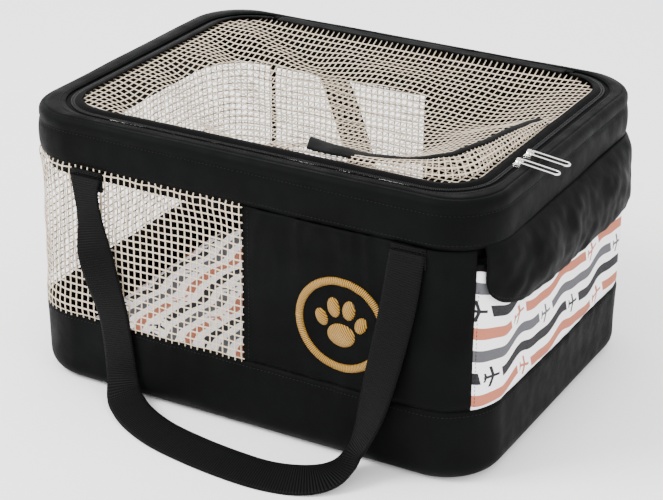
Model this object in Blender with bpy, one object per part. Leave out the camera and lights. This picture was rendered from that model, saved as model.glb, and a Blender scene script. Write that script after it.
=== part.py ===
"""Soft-sided pet transport carrier: sewn fabric shell, wrap-round net windows and a zipped net lid.

Frame: origin at the middle of the underside, +X towards the pocket end, -Y towards the front wall that
carries the emblem, +Z up. Metres.

Every wall follows one plan outline, a rounded rectangle. Its layers are profiles of (inset, height)
points swept along that outline, so a change of length, width, height or corner radius carries through.
"""

import math

import bmesh
import bpy
from mathutils import Matrix, Vector

# Overall size of the sewn shell
LENGTH = 0.430
WIDTH = 0.325
RIM_HEIGHT = 0.243
CORNER_RADIUS = 0.050
CORNER_STEPS = 8

# Cloth layers, from the outside in
GAP = 0.0003
FABRIC = 0.0010
FOAM = 0.0030
LINING = 0.0008
NET = 0.0015

# The two bands, above and below the wall panels
LOWER_BAND_TOP = 0.0645
TOP_BAND = 0.040

# Lower band and floor
BOTTOM_EDGE_RADIUS = 0.014
TURN_UNDER = 0.022
BOARD = 0.0030
MAT = 0.018
MAT_INSET = 0.0085
MAT_CLEARANCE = 0.0010
MAT_EDGE_RADIUS = 0.006

# Rim: a rounded edge with a steel wire inside, and the facing that closes its sleeve
RIM_EDGE_RADIUS = 0.006
WIRE_RADIUS = 0.0015
FERRULE_WALL = 0.0004
FERRULE_LENGTH = 0.018
FACING_DEPTH = 0.051
WIRE_SIDES = 8

# Net windows end here on the front and back walls
WINDOW_END_X = 0.004
NET_SEAM_FROM_CORNER = 0.008
NET_SEAM_WIDTH = 0.004

# Zip track round the lid: a rounded rectangle of its own, set back from the rim
TRACK_LEFT_INSET = 0.0250
TRACK_RIGHT_INSET = 0.0200
TRACK_FRONT_INSET = 0.0205
TRACK_BACK_INSET = 0.0165
TRACK_RADIUS = 0.042
TAPE = 0.0006
OUTER_TAPE_WIDTH = 0.0075
INNER_TAPE_WIDTH = 0.0120
TAPE_MIDDLE_GAP = 0.0006
COIL_WIDTH = 0.0015
COIL_HEIGHT = 0.0014
COIL_MIDDLE_GAP = 0.0003
STRIP_EDGE = 0.0060
LID_EDGE = 0.0060
STOP_LENGTH = 0.006

# Zip sliders and their wire pulls
SLIDER_FRONT_Y = -0.066
SLIDER_REAR_Y = -0.046
SLIDER_LENGTH = 0.011
SLIDER_FLANGE = 0.0030
SLIDER_OVERHANG = 0.0010
SLIDER_TOP = 0.0012
BRIDGE_OPENING = 0.0032
BRIDGE_CLEARANCE = 0.0006
BRIDGE_LEG = 0.0010
BRIDGE_DEPTH = 0.0028
PULL_LENGTH = 0.036
PULL_WIDTH = 0.0085
PULL_WIRE_RADIUS = 0.0008
PULL_TILT = math.radians(7.0)
PULL_SIDES = 8

# Pocket on the +X end, with its flap
POCKET_EDGE_ANGLE = math.radians(42.0)
POCKET_DROP = 0.025
POCKET_HEM = 0.006
FLAP_EDGE_ANGLE = math.radians(34.0)
FLAP_LENGTH = 0.057
FLAP_BULGE = 0.012
FLAP_STEPS = 7
CLOSURE_WIDTH = 0.090
CLOSURE_HEIGHT = 0.016
CLOSURE_TAPE = 0.0008

# Carrying handles, of flat webbing
WEBBING_WIDTH = 0.030
WEBBING = 0.0018
HANDLE_LENGTH = 0.646
HANDLE_DROP = 0.005
ROOT_LENGTH = 0.017
FRONT_HANDLE_MIDDLE_X = 0.006
FRONT_HANDLE_HALF_TOP = 0.148
FRONT_HANDLE_HALF_FOOT = 0.117
FRONT_TURN_RADIUS = 0.028
FRONT_LEAN = 1.0
REAR_HANDLE_HALF_TOP = 0.100
REAR_HANDLE_HALF_FOOT = 0.048
REAR_TURN_RADIUS = 0.048
REAR_LEAN = 2.0
FLOOR_BEND_RADIUS = 0.012

# Strap that lies on the lid, sewn down at its +X end. Each point is (distance from the +X side of the
# zip track, distance from its front side), with the strap's seen width there.
LID_STRAP = 0.0012
LID_STRAP_ROUTE = (
    ((0.159, 0.028), 0.018),
    ((0.129, 0.025), 0.017),
    ((0.099, 0.029), 0.013),
    ((0.071, 0.042), 0.009),
    ((0.050, 0.064), 0.007),
    ((0.039, 0.094), 0.007),
    ((0.032, 0.124), 0.008),
    ((0.024, 0.150), 0.011),
    ((0.015, 0.166), 0.014),
)

# Embroidered emblem on the front wall
EMBLEM_X = 0.095
EMBLEM_HEIGHT = 0.120
EMBLEM_RADIUS = 0.041
EMBLEM_THREAD = 0.0008
EMBLEM_STEPS = 40

# Places worked out from the sizes above
UPPER_SEAM = RIM_HEIGHT - TOP_BAND
FACING_BOTTOM = RIM_HEIGHT - FACING_DEPTH
NET_SEAM_X = CORNER_RADIUS + NET_SEAM_FROM_CORNER - LENGTH / 2
POCKET_TOP = UPPER_SEAM - POCKET_DROP
FLAP_BOTTOM = UPPER_SEAM - FLAP_LENGTH
HANDLE_TOP = UPPER_SEAM - HANDLE_DROP
ROOT_BOTTOM = UPPER_SEAM - ROOT_LENGTH
FOAM_INSET = FABRIC + GAP
LINING_INSET = FOAM_INSET + FOAM + GAP
LINING_INNER = LINING_INSET + LINING
WIRE_FROM_ARC = RIM_EDGE_RADIUS - FABRIC - GAP - (WIRE_RADIUS + GAP + FERRULE_WALL)
WIRE_INSET = RIM_EDGE_RADIUS - WIRE_FROM_ARC * math.sqrt(0.5)
WIRE_HEIGHT = RIM_HEIGHT - RIM_EDGE_RADIUS + WIRE_FROM_ARC * math.sqrt(0.5)
FACING_INSET = WIRE_INSET + WIRE_RADIUS + FERRULE_WALL + 2 * GAP
END_WALL_INSET = FACING_INSET + LINING + GAP
END_FOAM_INSET = END_WALL_INSET + FABRIC + GAP
END_LINING_INSET = END_FOAM_INSET + FOAM + GAP
MAT_END_INSET = END_LINING_INSET + LINING + MAT_CLEARANCE
BOARD_BOTTOM = FABRIC + GAP
MAT_BOTTOM = BOARD_BOTTOM + BOARD + GAP
MAT_TOP = MAT_BOTTOM + MAT
TRACK_RIGHT_X = LENGTH / 2 - TRACK_RIGHT_INSET
TRACK_LEFT_X = TRACK_LEFT_INSET - LENGTH / 2
TRACK_FRONT_Y = TRACK_FRONT_INSET - WIDTH / 2
TRACK_BACK_Y = WIDTH / 2 - TRACK_BACK_INSET
TRACK_MIDDLE = Vector(((TRACK_LEFT_X + TRACK_RIGHT_X) / 2, (TRACK_FRONT_Y + TRACK_BACK_Y) / 2))
TRACK_HALF_X = (TRACK_RIGHT_X - TRACK_LEFT_X) / 2
TRACK_HALF_Y = (TRACK_BACK_Y - TRACK_FRONT_Y) / 2
SHEET_BOTTOM = RIM_HEIGHT - FABRIC
TAPE_TOP = SHEET_BOTTOM - GAP
TAPE_BOTTOM = TAPE_TOP - TAPE
COIL_TOP = SHEET_BOTTOM + COIL_HEIGHT
HINGE_Y = TRACK_BACK_Y + STRIP_EDGE - GAP / 2
HINGE_HEIGHT = SHEET_BOTTOM + NET
SLIDER_INNER_X = TRACK_RIGHT_X + COIL_MIDDLE_GAP
SLIDER_FLANGE_X = SLIDER_INNER_X + COIL_WIDTH + GAP
SLIDER_OUTER_X = SLIDER_FLANGE_X + SLIDER_FLANGE + SLIDER_OVERHANG
SLIDER_TOP_HEIGHT = COIL_TOP + GAP + SLIDER_TOP
PULL_AXIS_X = (SLIDER_INNER_X + SLIDER_OUTER_X) / 2
PULL_AXIS_HEIGHT = SLIDER_TOP_HEIGHT + BRIDGE_CLEARANCE + PULL_WIRE_RADIUS
WEBBING_PLANE = WIDTH / 2 + GAP + WEBBING + GAP + WEBBING / 2


def material(name, colour, roughness, metallic=0.0):
    """A plain Principled material of the piece's colour."""
    made = bpy.data.materials.new(name)
    made.use_nodes = True
    shader = made.node_tree.nodes["Principled BSDF"]
    shader.inputs["Base Color"].default_value = (*colour, 1.0)
    shader.inputs["Roughness"].default_value = roughness
    shader.inputs["Metallic"].default_value = metallic
    return made


def add_object(name, mesh_builder, finish, origin=None):
    """One node from a bmesh in world coordinates; origin is a point on its joint's axis."""
    bmesh.ops.recalc_face_normals(mesh_builder, faces=mesh_builder.faces)
    mesh = bpy.data.meshes.new(name)
    mesh_builder.to_mesh(mesh)
    mesh_builder.free()
    mesh.materials.append(finish)
    made = bpy.data.objects.new(name, mesh)
    bpy.context.scene.collection.objects.link(made)
    if origin is not None:
        mesh.transform(Matrix.Translation(-Vector(origin)))
        made.location = origin
    return made


def shade_round(made):
    """Smooth shading on a round piece, with its sharp edges kept."""
    made.data.shade_smooth()
    made.data.set_sharp_from_angle(angle=math.radians(40))
    return made


# --- Plan outlines: stations of (point, outward normal) ---------------------------------------------


def corner(half_x, half_y, radius, middle, side_x, side_y, first, last, steps=CORNER_STEPS):
    """Stations round one corner, anticlockwise from angle first to angle last (radians from +X)."""
    centre = middle + Vector((side_x * (half_x - radius), side_y * (half_y - radius)))
    found = []
    for step in range(steps + 1):
        angle = first + (last - first) * step / steps
        normal = Vector((math.cos(angle), math.sin(angle)))
        found.append((centre + radius * normal, normal))
    return found


def wall_corner(side_x, side_y, first, last, steps=CORNER_STEPS):
    """Stations round one corner of the shell's own outline."""
    sizes = (LENGTH / 2, WIDTH / 2, CORNER_RADIUS)
    return corner(*sizes, Vector((0.0, 0.0)), side_x, side_y, first, last, steps)


def outline(half_x, half_y, radius, middle):
    """A closed rounded rectangle, anticlockwise from the front end of its front +X corner."""
    quarter = math.pi / 2
    found = []
    for side_x, side_y, first in ((1, -1, -quarter), (1, 1, 0.0), (-1, 1, quarter), (-1, -1, 2 * quarter)):
        found += corner(half_x, half_y, radius, middle, side_x, side_y, first, first + quarter)
    return found


def wall_outline():
    return outline(LENGTH / 2, WIDTH / 2, CORNER_RADIUS, Vector((0.0, 0.0)))


def track_outline():
    return outline(TRACK_HALF_X, TRACK_HALF_Y, TRACK_RADIUS, TRACK_MIDDLE)


def front_at(x):
    return [(Vector((x, -WIDTH / 2)), Vector((0.0, -1.0)))]


def back_at(x):
    return [(Vector((x, WIDTH / 2)), Vector((0.0, 1.0)))]


def loop_at(stations, inset, height):
    """The points of an outline moved in by inset, at one height."""
    return [Vector((*(point - inset * normal), height)) for point, normal in stations]


# --- Solids from stations and profiles --------------------------------------------------------------


def skin(rows, closed_rows, closed_profile=True):
    """A bmesh of quads between rows of points; open rows get end caps."""
    builder = bmesh.new()
    made = [[builder.verts.new(point) for point in row] for row in rows]
    pairs = list(zip(made, made[1:]))
    if closed_rows:
        pairs.append((made[-1], made[0]))
    count = len(made[0])
    last = count if closed_profile else count - 1
    for first, second in pairs:
        for index in range(last):
            following = (index + 1) % count
            builder.faces.new((first[index], first[following], second[following], second[index]))
    if not closed_rows:
        builder.faces.new(made[0])
        builder.faces.new(made[-1][::-1])
    return builder


def swept(stations, profile, closed):
    """A bmesh of one profile of (inset, height) points swept along stations."""
    rows = [
        [Vector((*(point - inset * normal), height)) for inset, height in profile]
        for point, normal in stations
    ]
    return skin(rows, closed)


def sheet(inner_inset, outer_inset, low, high):
    """A flat upright layer between two insets and two heights, as a profile."""
    return [(outer_inset, low), (outer_inset, high), (inner_inset, high), (inner_inset, low)]


def slab(stations, inset, low, high):
    """A bmesh of a flat plate that fills an outline."""
    return skin([loop_at(stations, inset, low), loop_at(stations, inset, high)], False)


def arc(centre, radius, first, last, steps):
    """Points of (inset, height) round an arc; angles in degrees, 180 facing outwards and 90 up."""
    found = []
    for step in range(steps + 1):
        angle = math.radians(first + (last - first) * step / steps)
        found.append((centre[0] + radius * math.cos(angle), centre[1] + radius * math.sin(angle)))
    return found


def box(low, high):
    """A bmesh box between two corners."""
    builder = bmesh.new()
    low, high = Vector(low), Vector(high)
    size = high - low
    bmesh.ops.create_cube(builder, size=1.0)
    bmesh.ops.scale(builder, vec=size, verts=builder.verts)
    bmesh.ops.translate(builder, vec=(low + high) / 2, verts=builder.verts)
    return builder


def extruded(points, direction):
    """A bmesh prism of a flat polygon along a direction."""
    return skin([list(points), [point + direction for point in points]], False)


def tube(points, radius, sides, closed, up):
    """A bmesh tube round a path; up is any direction that the path never runs along."""
    rows = []
    count = len(points)
    for index, point in enumerate(points):
        before = points[index - 1] if closed or index else point
        after = points[(index + 1) % count] if closed or index + 1 < count else point
        along = (after - before).normalized()
        side = along.cross(up).normalized()
        top = side.cross(along)
        rows.append(
            [
                point + radius * (math.cos(turn) * side + math.sin(turn) * top)
                for turn in (2 * math.pi * step / sides for step in range(sides))
            ]
        )
    return skin(rows, closed)


def ribbon(frames, thickness):
    """A bmesh strap; each frame is (centre, width direction, width, face normal)."""
    rows = []
    for centre, across, width, normal in frames:
        side, lift = across * width / 2, normal * thickness / 2
        rows.append([centre - side - lift, centre + side - lift, centre + side + lift, centre - side + lift])
    return skin(rows, False)


# --- Shell ------------------------------------------------------------------------------------------


def make_floor(black, board, print_cloth):
    """Underside panel, stiff board and the loose padded mat."""
    walls = wall_outline()
    add_object("bottom_panel", slab(walls, TURN_UNDER + GAP, 0.0, FABRIC), black)
    add_object("base_board", slab(walls, BOTTOM_EDGE_RADIUS, BOARD_BOTTOM, BOARD_BOTTOM + BOARD), board)

    half_x = (LENGTH - MAT_INSET - MAT_END_INSET) / 2
    middle = Vector(((MAT_INSET - MAT_END_INSET) / 2, 0.0))
    mat = outline(half_x, WIDTH / 2 - MAT_INSET, CORNER_RADIUS - MAT_INSET, middle)
    edge = MAT_EDGE_RADIUS
    turns = quarter_steps(edge)
    rows = [loop_at(mat, edge - run, MAT_BOTTOM + edge - rise) for run, rise in turns]
    turns.reverse()
    rows += [loop_at(mat, edge - run, MAT_TOP - edge + rise) for run, rise in turns]
    add_object("floor_mat", skin(rows, False), print_cloth)


def quarter_steps(radius, steps=3):
    """(run, rise) along a quarter round, from full rise to full run."""
    turns = [math.pi / 2 * step / steps for step in range(steps + 1)]
    return [(radius * math.sin(turn), radius * math.cos(turn)) for turn in turns]


def make_lower_band(black, foam, lining):
    """The lower band, turned under the floor, with its foam and lining."""
    walls = wall_outline()
    radius = BOTTOM_EDGE_RADIUS
    centre = (radius, radius)
    outside = arc(centre, radius, 270, 180, 5) + [(0.0, LOWER_BAND_TOP)]
    inside = arc(centre, radius - FABRIC, 270, 180, 5) + [(FABRIC, LOWER_BAND_TOP)]
    profile = [(TURN_UNDER, 0.0), *outside, *reversed(inside), (TURN_UNDER, FABRIC)]
    add_object("lower_band", swept(walls, profile, True), black)
    foam_layer = sheet(FOAM_INSET + FOAM, FOAM_INSET, radius, LOWER_BAND_TOP)
    add_object("lower_foam", swept(walls, foam_layer, True), foam)
    lining_layer = sheet(LINING_INNER, LINING_INSET, radius, LOWER_BAND_TOP)
    add_object("lower_lining", swept(walls, lining_layer, True), lining)


def make_long_wall(name, stations, black, foam, lining):
    """A front or back wall panel in three layers, between the two horizontal seams."""
    low, high = LOWER_BAND_TOP + GAP, UPPER_SEAM
    add_object(name + "_panel", swept(stations, sheet(FABRIC, 0.0, low, high), False), black)
    layer = sheet(FOAM_INSET + FOAM, FOAM_INSET, low, high)
    add_object(name + "_foam", swept(stations, layer, False), foam)
    layer = sheet(LINING_INNER, LINING_INSET, low, high)
    add_object(name + "_lining", swept(stations, layer, False), lining)


def make_long_walls(black, foam, lining):
    quarter = math.pi / 2
    front = front_at(WINDOW_END_X) + wall_corner(1, -1, -quarter, -POCKET_EDGE_ANGLE)
    back = wall_corner(1, 1, POCKET_EDGE_ANGLE, quarter) + back_at(WINDOW_END_X)
    make_long_wall("front", front, black, foam, lining)
    make_long_wall("back", back, black, foam, lining)


def make_side_net(net, black):
    """The net that wraps the -X end and half of each long wall, with its one upright seam."""
    half_turn = math.pi
    start = WINDOW_END_X - GAP
    stations = back_at(start)
    stations += wall_corner(-1, 1, half_turn / 2, half_turn) + wall_corner(-1, -1, half_turn, half_turn * 1.5)
    stations += front_at(start)
    layer = sheet(NET, 0.0, LOWER_BAND_TOP + GAP, UPPER_SEAM)
    add_object("side_net", swept(stations, layer, False), net)
    inner = WIDTH / 2 - NET - GAP
    low = (NET_SEAM_X - NET_SEAM_WIDTH / 2, inner - FABRIC, LOWER_BAND_TOP + GAP)
    high = (NET_SEAM_X + NET_SEAM_WIDTH / 2, inner, UPPER_SEAM)
    add_object("net_seam_tape", box(low, high), black)


def end_wall_half_width(inset):
    """How far a flat end layer at this inset reaches before it meets the corner's lining."""
    radius = CORNER_RADIUS - LINING_INNER
    drop = inset - LINING_INNER
    return WIDTH / 2 - CORNER_RADIUS + math.sqrt(radius**2 - (radius - drop) ** 2) - 2 * GAP


def make_end_wall(black, foam, lining):
    """The wall behind the pocket: three flat layers that close the cabin's +X end."""
    half = end_wall_half_width(END_WALL_INSET)
    layers = (
        ("end_wall", END_WALL_INSET, FABRIC, black),
        ("end_foam", END_FOAM_INSET, FOAM, foam),
        ("end_lining", END_LINING_INSET, LINING, lining),
    )
    for name, inset, thick, finish in layers:
        low = (LENGTH / 2 - inset - thick, -half, LOWER_BAND_TOP + GAP)
        high = (LENGTH / 2 - inset, half, FACING_BOTTOM - GAP)
        add_object(name, box(low, high), finish)


def pocket_stations(edge_angle):
    """Along the +X end, from one corner's edge angle round to the other's."""
    return wall_corner(1, -1, -edge_angle, 0.0, 4) + wall_corner(1, 1, 0.0, edge_angle, 4)


def make_pocket(print_cloth, black, closure):
    """Printed pocket front, its bound top edge and the closure tape on it."""
    edge = POCKET_EDGE_ANGLE - GAP / CORNER_RADIUS
    stations = pocket_stations(edge)
    hem_bottom = POCKET_TOP - POCKET_HEM
    layer = sheet(FABRIC, 0.0, LOWER_BAND_TOP + GAP, hem_bottom - GAP)
    add_object("pocket_panel", swept(stations, layer, False), print_cloth)
    add_object("pocket_hem", swept(stations, sheet(FABRIC, 0.0, hem_bottom, POCKET_TOP), False), black)
    face = LENGTH / 2 + GAP
    low = (face, -CLOSURE_WIDTH / 2, FLAP_BOTTOM + GAP)
    high = (face + CLOSURE_TAPE, CLOSURE_WIDTH / 2, FLAP_BOTTOM + CLOSURE_HEIGHT)
    add_object("pocket_closure_tape", box(low, high), closure)


def flap_profile():
    """The flap's bulging section, as (inset, height) points, outside first."""
    stand_off = GAP + 2 * (CLOSURE_TAPE + GAP)
    seam = UPPER_SEAM - GAP
    outside, inside = [], []
    for step in range(FLAP_STEPS + 1):
        share = step / FLAP_STEPS
        height = seam + (FLAP_BOTTOM - seam) * share
        out = GAP + stand_off * share + FLAP_BULGE * math.sin(math.pi * share)
        outside.append((-out - FABRIC, height))
        inside.append((-out, height))
    return outside + inside[::-1]


def make_flap(black, closure):
    """The pocket's flap, hinged on the upper seam, with its closure tape inside."""
    hinge = (LENGTH / 2 + GAP + FABRIC / 2, 0.0, UPPER_SEAM)
    edge = FLAP_EDGE_ANGLE
    flap = add_object("pocket_flap", swept(pocket_stations(edge), flap_profile(), False), black, hinge)
    face = LENGTH / 2 + 2 * GAP + CLOSURE_TAPE
    low = (face, -CLOSURE_WIDTH / 2, FLAP_BOTTOM + GAP)
    high = (face + CLOSURE_TAPE, CLOSURE_WIDTH / 2, FLAP_BOTTOM + CLOSURE_HEIGHT / 3)
    add_object("flap_closure_tape", box(low, high), closure, hinge)
    return flap


# --- Rim and lid ------------------------------------------------------------------------------------


def make_rim(black, lining, steel):
    """Top band with its rounded edge, the strip in to the zip, the wire and the facing."""
    walls = wall_outline()
    radius = RIM_EDGE_RADIUS
    centre = (radius, RIM_HEIGHT - radius)
    outside = [(0.0, UPPER_SEAM + GAP)] + arc(centre, radius, 180, 90, 4)
    inside = [(FABRIC, UPPER_SEAM + GAP)] + arc(centre, radius - FABRIC, 180, 90, 4)
    add_object("top_band", swept(walls, outside + inside[::-1], True), black)

    track = track_outline()
    rows = [
        loop_at(walls, radius + GAP, SHEET_BOTTOM),
        loop_at(walls, radius + GAP, RIM_HEIGHT),
        loop_at(track, -STRIP_EDGE, RIM_HEIGHT),
        loop_at(track, -STRIP_EDGE, SHEET_BOTTOM),
    ]
    ring = skin([list(points) for points in zip(*rows)], True)
    add_object("rim_strip", ring, black)

    facing = sheet(FACING_INSET + LINING, FACING_INSET, FACING_BOTTOM, SHEET_BOTTOM - GAP)
    add_object("rim_facing", swept(walls, facing, True), lining)

    wire_path = loop_at(walls, WIRE_INSET, WIRE_HEIGHT)
    wire = tube(wire_path, WIRE_RADIUS, WIRE_SIDES, True, Vector((0, 0, 1)))
    shade_round(add_object("rim_wire", wire, steel))
    make_ferrule(steel)


def make_ferrule(steel):
    """The crimped sleeve that joins the wire's two ends, in the middle of the back wall."""
    inner, outer = WIRE_RADIUS + GAP, WIRE_RADIUS + GAP + FERRULE_WALL
    centre_y = WIDTH / 2 - WIRE_INSET
    rows = []
    for x, radius in ((-0.5, inner), (-0.5, outer), (0.5, outer), (0.5, inner)):
        turns = [2 * math.pi * step / (2 * WIRE_SIDES) for step in range(2 * WIRE_SIDES)]
        place = Vector((x * FERRULE_LENGTH, centre_y, WIRE_HEIGHT))
        rows.append([place + radius * Vector((0.0, math.cos(turn), math.sin(turn))) for turn in turns])
    shade_round(add_object("wire_ferrule", skin(rows, True), steel))


def track_run():
    """The zipped part of the track, from one end of the hinge round the front to the other."""
    track = track_outline()
    behind = 2 * (CORNER_STEPS + 1)
    return track[behind:] + track[:behind]


def make_zip(black, hinge):
    """Both halves of the zip: tapes and coils, the outer ones on the strip and the inner on the lid."""
    run = track_run()
    tape, coil = TAPE_MIDDLE_GAP, COIL_MIDDLE_GAP
    layer = sheet(-tape, -tape - OUTER_TAPE_WIDTH, TAPE_BOTTOM, TAPE_TOP)
    add_object("zip_tape_outer", swept(run, layer, False), black)
    layer = sheet(-coil, -coil - COIL_WIDTH, SHEET_BOTTOM, COIL_TOP)
    add_object("zip_coil_outer", swept(run, layer, False), black)
    layer = sheet(tape + INNER_TAPE_WIDTH, tape, TAPE_BOTTOM, TAPE_TOP)
    add_object("zip_tape_inner", swept(run, layer, False), black, hinge)
    layer = sheet(coil + COIL_WIDTH, coil, SHEET_BOTTOM, COIL_TOP)
    add_object("zip_coil_inner", swept(run, layer, False), black, hinge)
    for name, side in (("zip_stop_left", -1), ("zip_stop_right", 1)):
        end = TRACK_MIDDLE.x + side * (TRACK_HALF_X - TRACK_RADIUS - GAP)
        start = end - side * STOP_LENGTH
        low = (min(start, end), TRACK_BACK_Y + GAP, TAPE_BOTTOM)
        high = (max(start, end), TRACK_BACK_Y + STRIP_EDGE - GAP, COIL_TOP)
        add_object(name, box(low, high), black)


def make_lid(net, black, hinge):
    """The net lid, its hinge tape along the back and the strap that lies on it."""
    sizes = (TRACK_HALF_X - LID_EDGE, TRACK_HALF_Y - LID_EDGE, TRACK_RADIUS - LID_EDGE)
    inner = outline(*sizes, TRACK_MIDDLE)
    add_object("lid_net", slab(inner, 0.0, SHEET_BOTTOM, SHEET_BOTTOM + NET), net, hinge)
    half = TRACK_HALF_X - TRACK_RADIUS - STOP_LENGTH - 2 * GAP
    low = (TRACK_MIDDLE.x - half, TRACK_BACK_Y - LID_EDGE + GAP, SHEET_BOTTOM)
    high = (TRACK_MIDDLE.x + half, TRACK_BACK_Y + STRIP_EDGE - GAP, SHEET_BOTTOM + NET)
    add_object("lid_hinge_tape", box(low, high), black, hinge)

    height = SHEET_BOTTOM + NET + GAP + LID_STRAP / 2
    up = Vector((0, 0, 1))
    places = [
        Vector((TRACK_RIGHT_X - from_side, TRACK_FRONT_Y + from_front, height))
        for (from_side, from_front), _ in LID_STRAP_ROUTE
    ]
    frames = []
    for index, (_, width) in enumerate(LID_STRAP_ROUTE):
        before = places[max(index - 1, 0)]
        after = places[min(index + 1, len(places) - 1)]
        along = (after - before).normalized()
        frames.append((places[index], up.cross(along), width, up))
    add_object("lid_strap", ribbon(frames, LID_STRAP), black, hinge)


def make_slider(name, y, metal):
    """A zip slider on the fixed half of the coil at the +X side, with a bridge for its pull."""
    under = COIL_TOP + GAP
    flange = SLIDER_FLANGE_X + SLIDER_FLANGE
    section = [
        (SLIDER_INNER_X, under),
        (SLIDER_FLANGE_X, under),
        (SLIDER_FLANGE_X, SHEET_BOTTOM),
        (flange, SHEET_BOTTOM),
        (flange, under),
        (SLIDER_OUTER_X, under),
        (SLIDER_OUTER_X, SLIDER_TOP_HEIGHT),
        (SLIDER_INNER_X, SLIDER_TOP_HEIGHT),
    ]
    points = [Vector((x, y - SLIDER_LENGTH / 2, z)) for x, z in section]
    origin = (PULL_AXIS_X, y, PULL_AXIS_HEIGHT)
    body = add_object(name, extruded(points, Vector((0, SLIDER_LENGTH, 0))), metal, origin)

    half = BRIDGE_OPENING / 2
    sunk = SLIDER_TOP_HEIGHT - SLIDER_TOP / 2
    high = SLIDER_TOP_HEIGHT + 2 * (PULL_WIRE_RADIUS + BRIDGE_CLEARANCE)
    section = [
        (-half - BRIDGE_LEG, sunk),
        (-half, sunk),
        (-half, high),
        (half, high),
        (half, sunk),
        (half + BRIDGE_LEG, sunk),
        (half + BRIDGE_LEG, high),
        (half, high + BRIDGE_LEG),
        (-half, high + BRIDGE_LEG),
        (-half - BRIDGE_LEG, high),
    ]
    points = [Vector((PULL_AXIS_X + x, y - BRIDGE_DEPTH / 2, z)) for x, z in section]
    bridge = extruded(points, Vector((0, BRIDGE_DEPTH, 0)))
    loop = add_object(name + "_bridge", bridge, metal, origin)
    loop.hide_render = True
    loop.display_type = "WIRE"
    union = body.modifiers.new("bridge", "BOOLEAN")
    union.operation = "UNION"
    union.solver = "EXACT"
    union.object = loop


def make_pull(name, y, metal):
    """A long wire pull: a stadium-shaped ring through the slider's bridge, lying over the rim."""
    half = PULL_WIDTH / 2 - PULL_WIRE_RADIUS
    straight = PULL_LENGTH - 2 * half - 2 * PULL_WIRE_RADIUS
    points = []
    for step in range(9):
        turn = math.pi / 2 + math.pi * step / 8
        points.append((half + half * math.cos(turn), half * math.sin(turn)))
    for step in range(9):
        turn = -math.pi / 2 + math.pi * step / 8
        points.append((half + straight + half * math.cos(turn), half * math.sin(turn)))
    origin = Vector((PULL_AXIS_X, y, PULL_AXIS_HEIGHT))
    down = Vector((math.cos(PULL_TILT), 0.0, -math.sin(PULL_TILT)))
    path = [origin + along * down + Vector((0.0, across, 0.0)) for along, across in points]
    up = Vector((math.sin(PULL_TILT), 0.0, math.cos(PULL_TILT)))
    shade_round(add_object(name, tube(path, PULL_WIRE_RADIUS, PULL_SIDES, True, up), metal, origin))


# --- Handles and emblem -----------------------------------------------------------------------------


def handle_half(half_top, half_foot, turn_radius, lean_power, reach):
    """Frames of one half of a handle: down the wall, out over the floor and round to its middle.

    Local axes: x sideways from the handle's middle, y outwards from the wall plane, z up.
    """
    frames = []
    floor = WEBBING / 2
    leg_foot = floor + FLOOR_BEND_RADIUS
    for step in range(9):
        share = 1 - step / 8
        x = half_foot + (half_top - half_foot) * share**lean_power
        z = leg_foot + (HANDLE_TOP - leg_foot) * share
        frames.append((Vector((x, 0.0, z)), Vector((1, 0, 0)), Vector((0, 1, 0))))
    for step in range(1, 6):
        turn = math.pi / 2 * step / 5
        y = FLOOR_BEND_RADIUS * (1 - math.cos(turn))
        z = leg_foot - FLOOR_BEND_RADIUS * math.sin(turn)
        normal = Vector((0.0, math.cos(turn), math.sin(turn)))
        frames.append((Vector((half_foot, y, z)), Vector((1, 0, 0)), normal))
    turn_y = FLOOR_BEND_RADIUS + reach
    first = 0 if reach > GAP else 1
    for step in range(first, 9):
        turn = math.pi / 2 * step / 8
        x = half_foot - turn_radius * (1 - math.cos(turn))
        y = turn_y + turn_radius * math.sin(turn)
        across = Vector((math.cos(turn), math.sin(turn), 0.0))
        frames.append((Vector((x, y, floor)), across, Vector((0, 0, 1))))
    return frames


def path_length(frames):
    return sum((second[0] - first[0]).length for first, second in zip(frames, frames[1:]))


def floor_reach(half_top, half_foot, turn_radius, lean_power):
    """How far the strap runs straight out on the floor, so that the handle has its full length.

    A wall too high for the handle's length gets none, and the handle is as long as it then needs.
    """
    frames = handle_half(half_top, half_foot, turn_radius, lean_power, 0.0)
    used = path_length(frames) + frames[-1][0].x
    return max(0.0, HANDLE_LENGTH / 2 - used)


def make_handle(name, side, middle_x, shape, webbing):
    """A handle of one length of webbing that hangs down a long wall and lies on the floor."""
    half = handle_half(*shape, floor_reach(*shape))

    def placed(centre, across, normal, mirror):
        place = Vector((middle_x + mirror * centre.x, side * (WEBBING_PLANE + centre.y), centre.z))
        return (
            place,
            Vector((across.x, mirror * side * across.y, 0.0)),
            WEBBING_WIDTH,
            Vector((0.0, side * normal.y, normal.z)),
        )

    frames = [placed(*frame, 1) for frame in half]
    other = [placed(*frame, -1) for frame in reversed(half)]
    if half[-1][0].x < GAP:
        other = other[1:]
    for centre, across, width, normal in other:
        if across.dot(frames[-1][1]) < 0:
            across = -across
        frames.append((centre, across, width, normal))
    origin = (middle_x, side * WEBBING_PLANE, HANDLE_TOP)
    add_object(name, ribbon(frames, WEBBING), webbing, origin)


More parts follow.
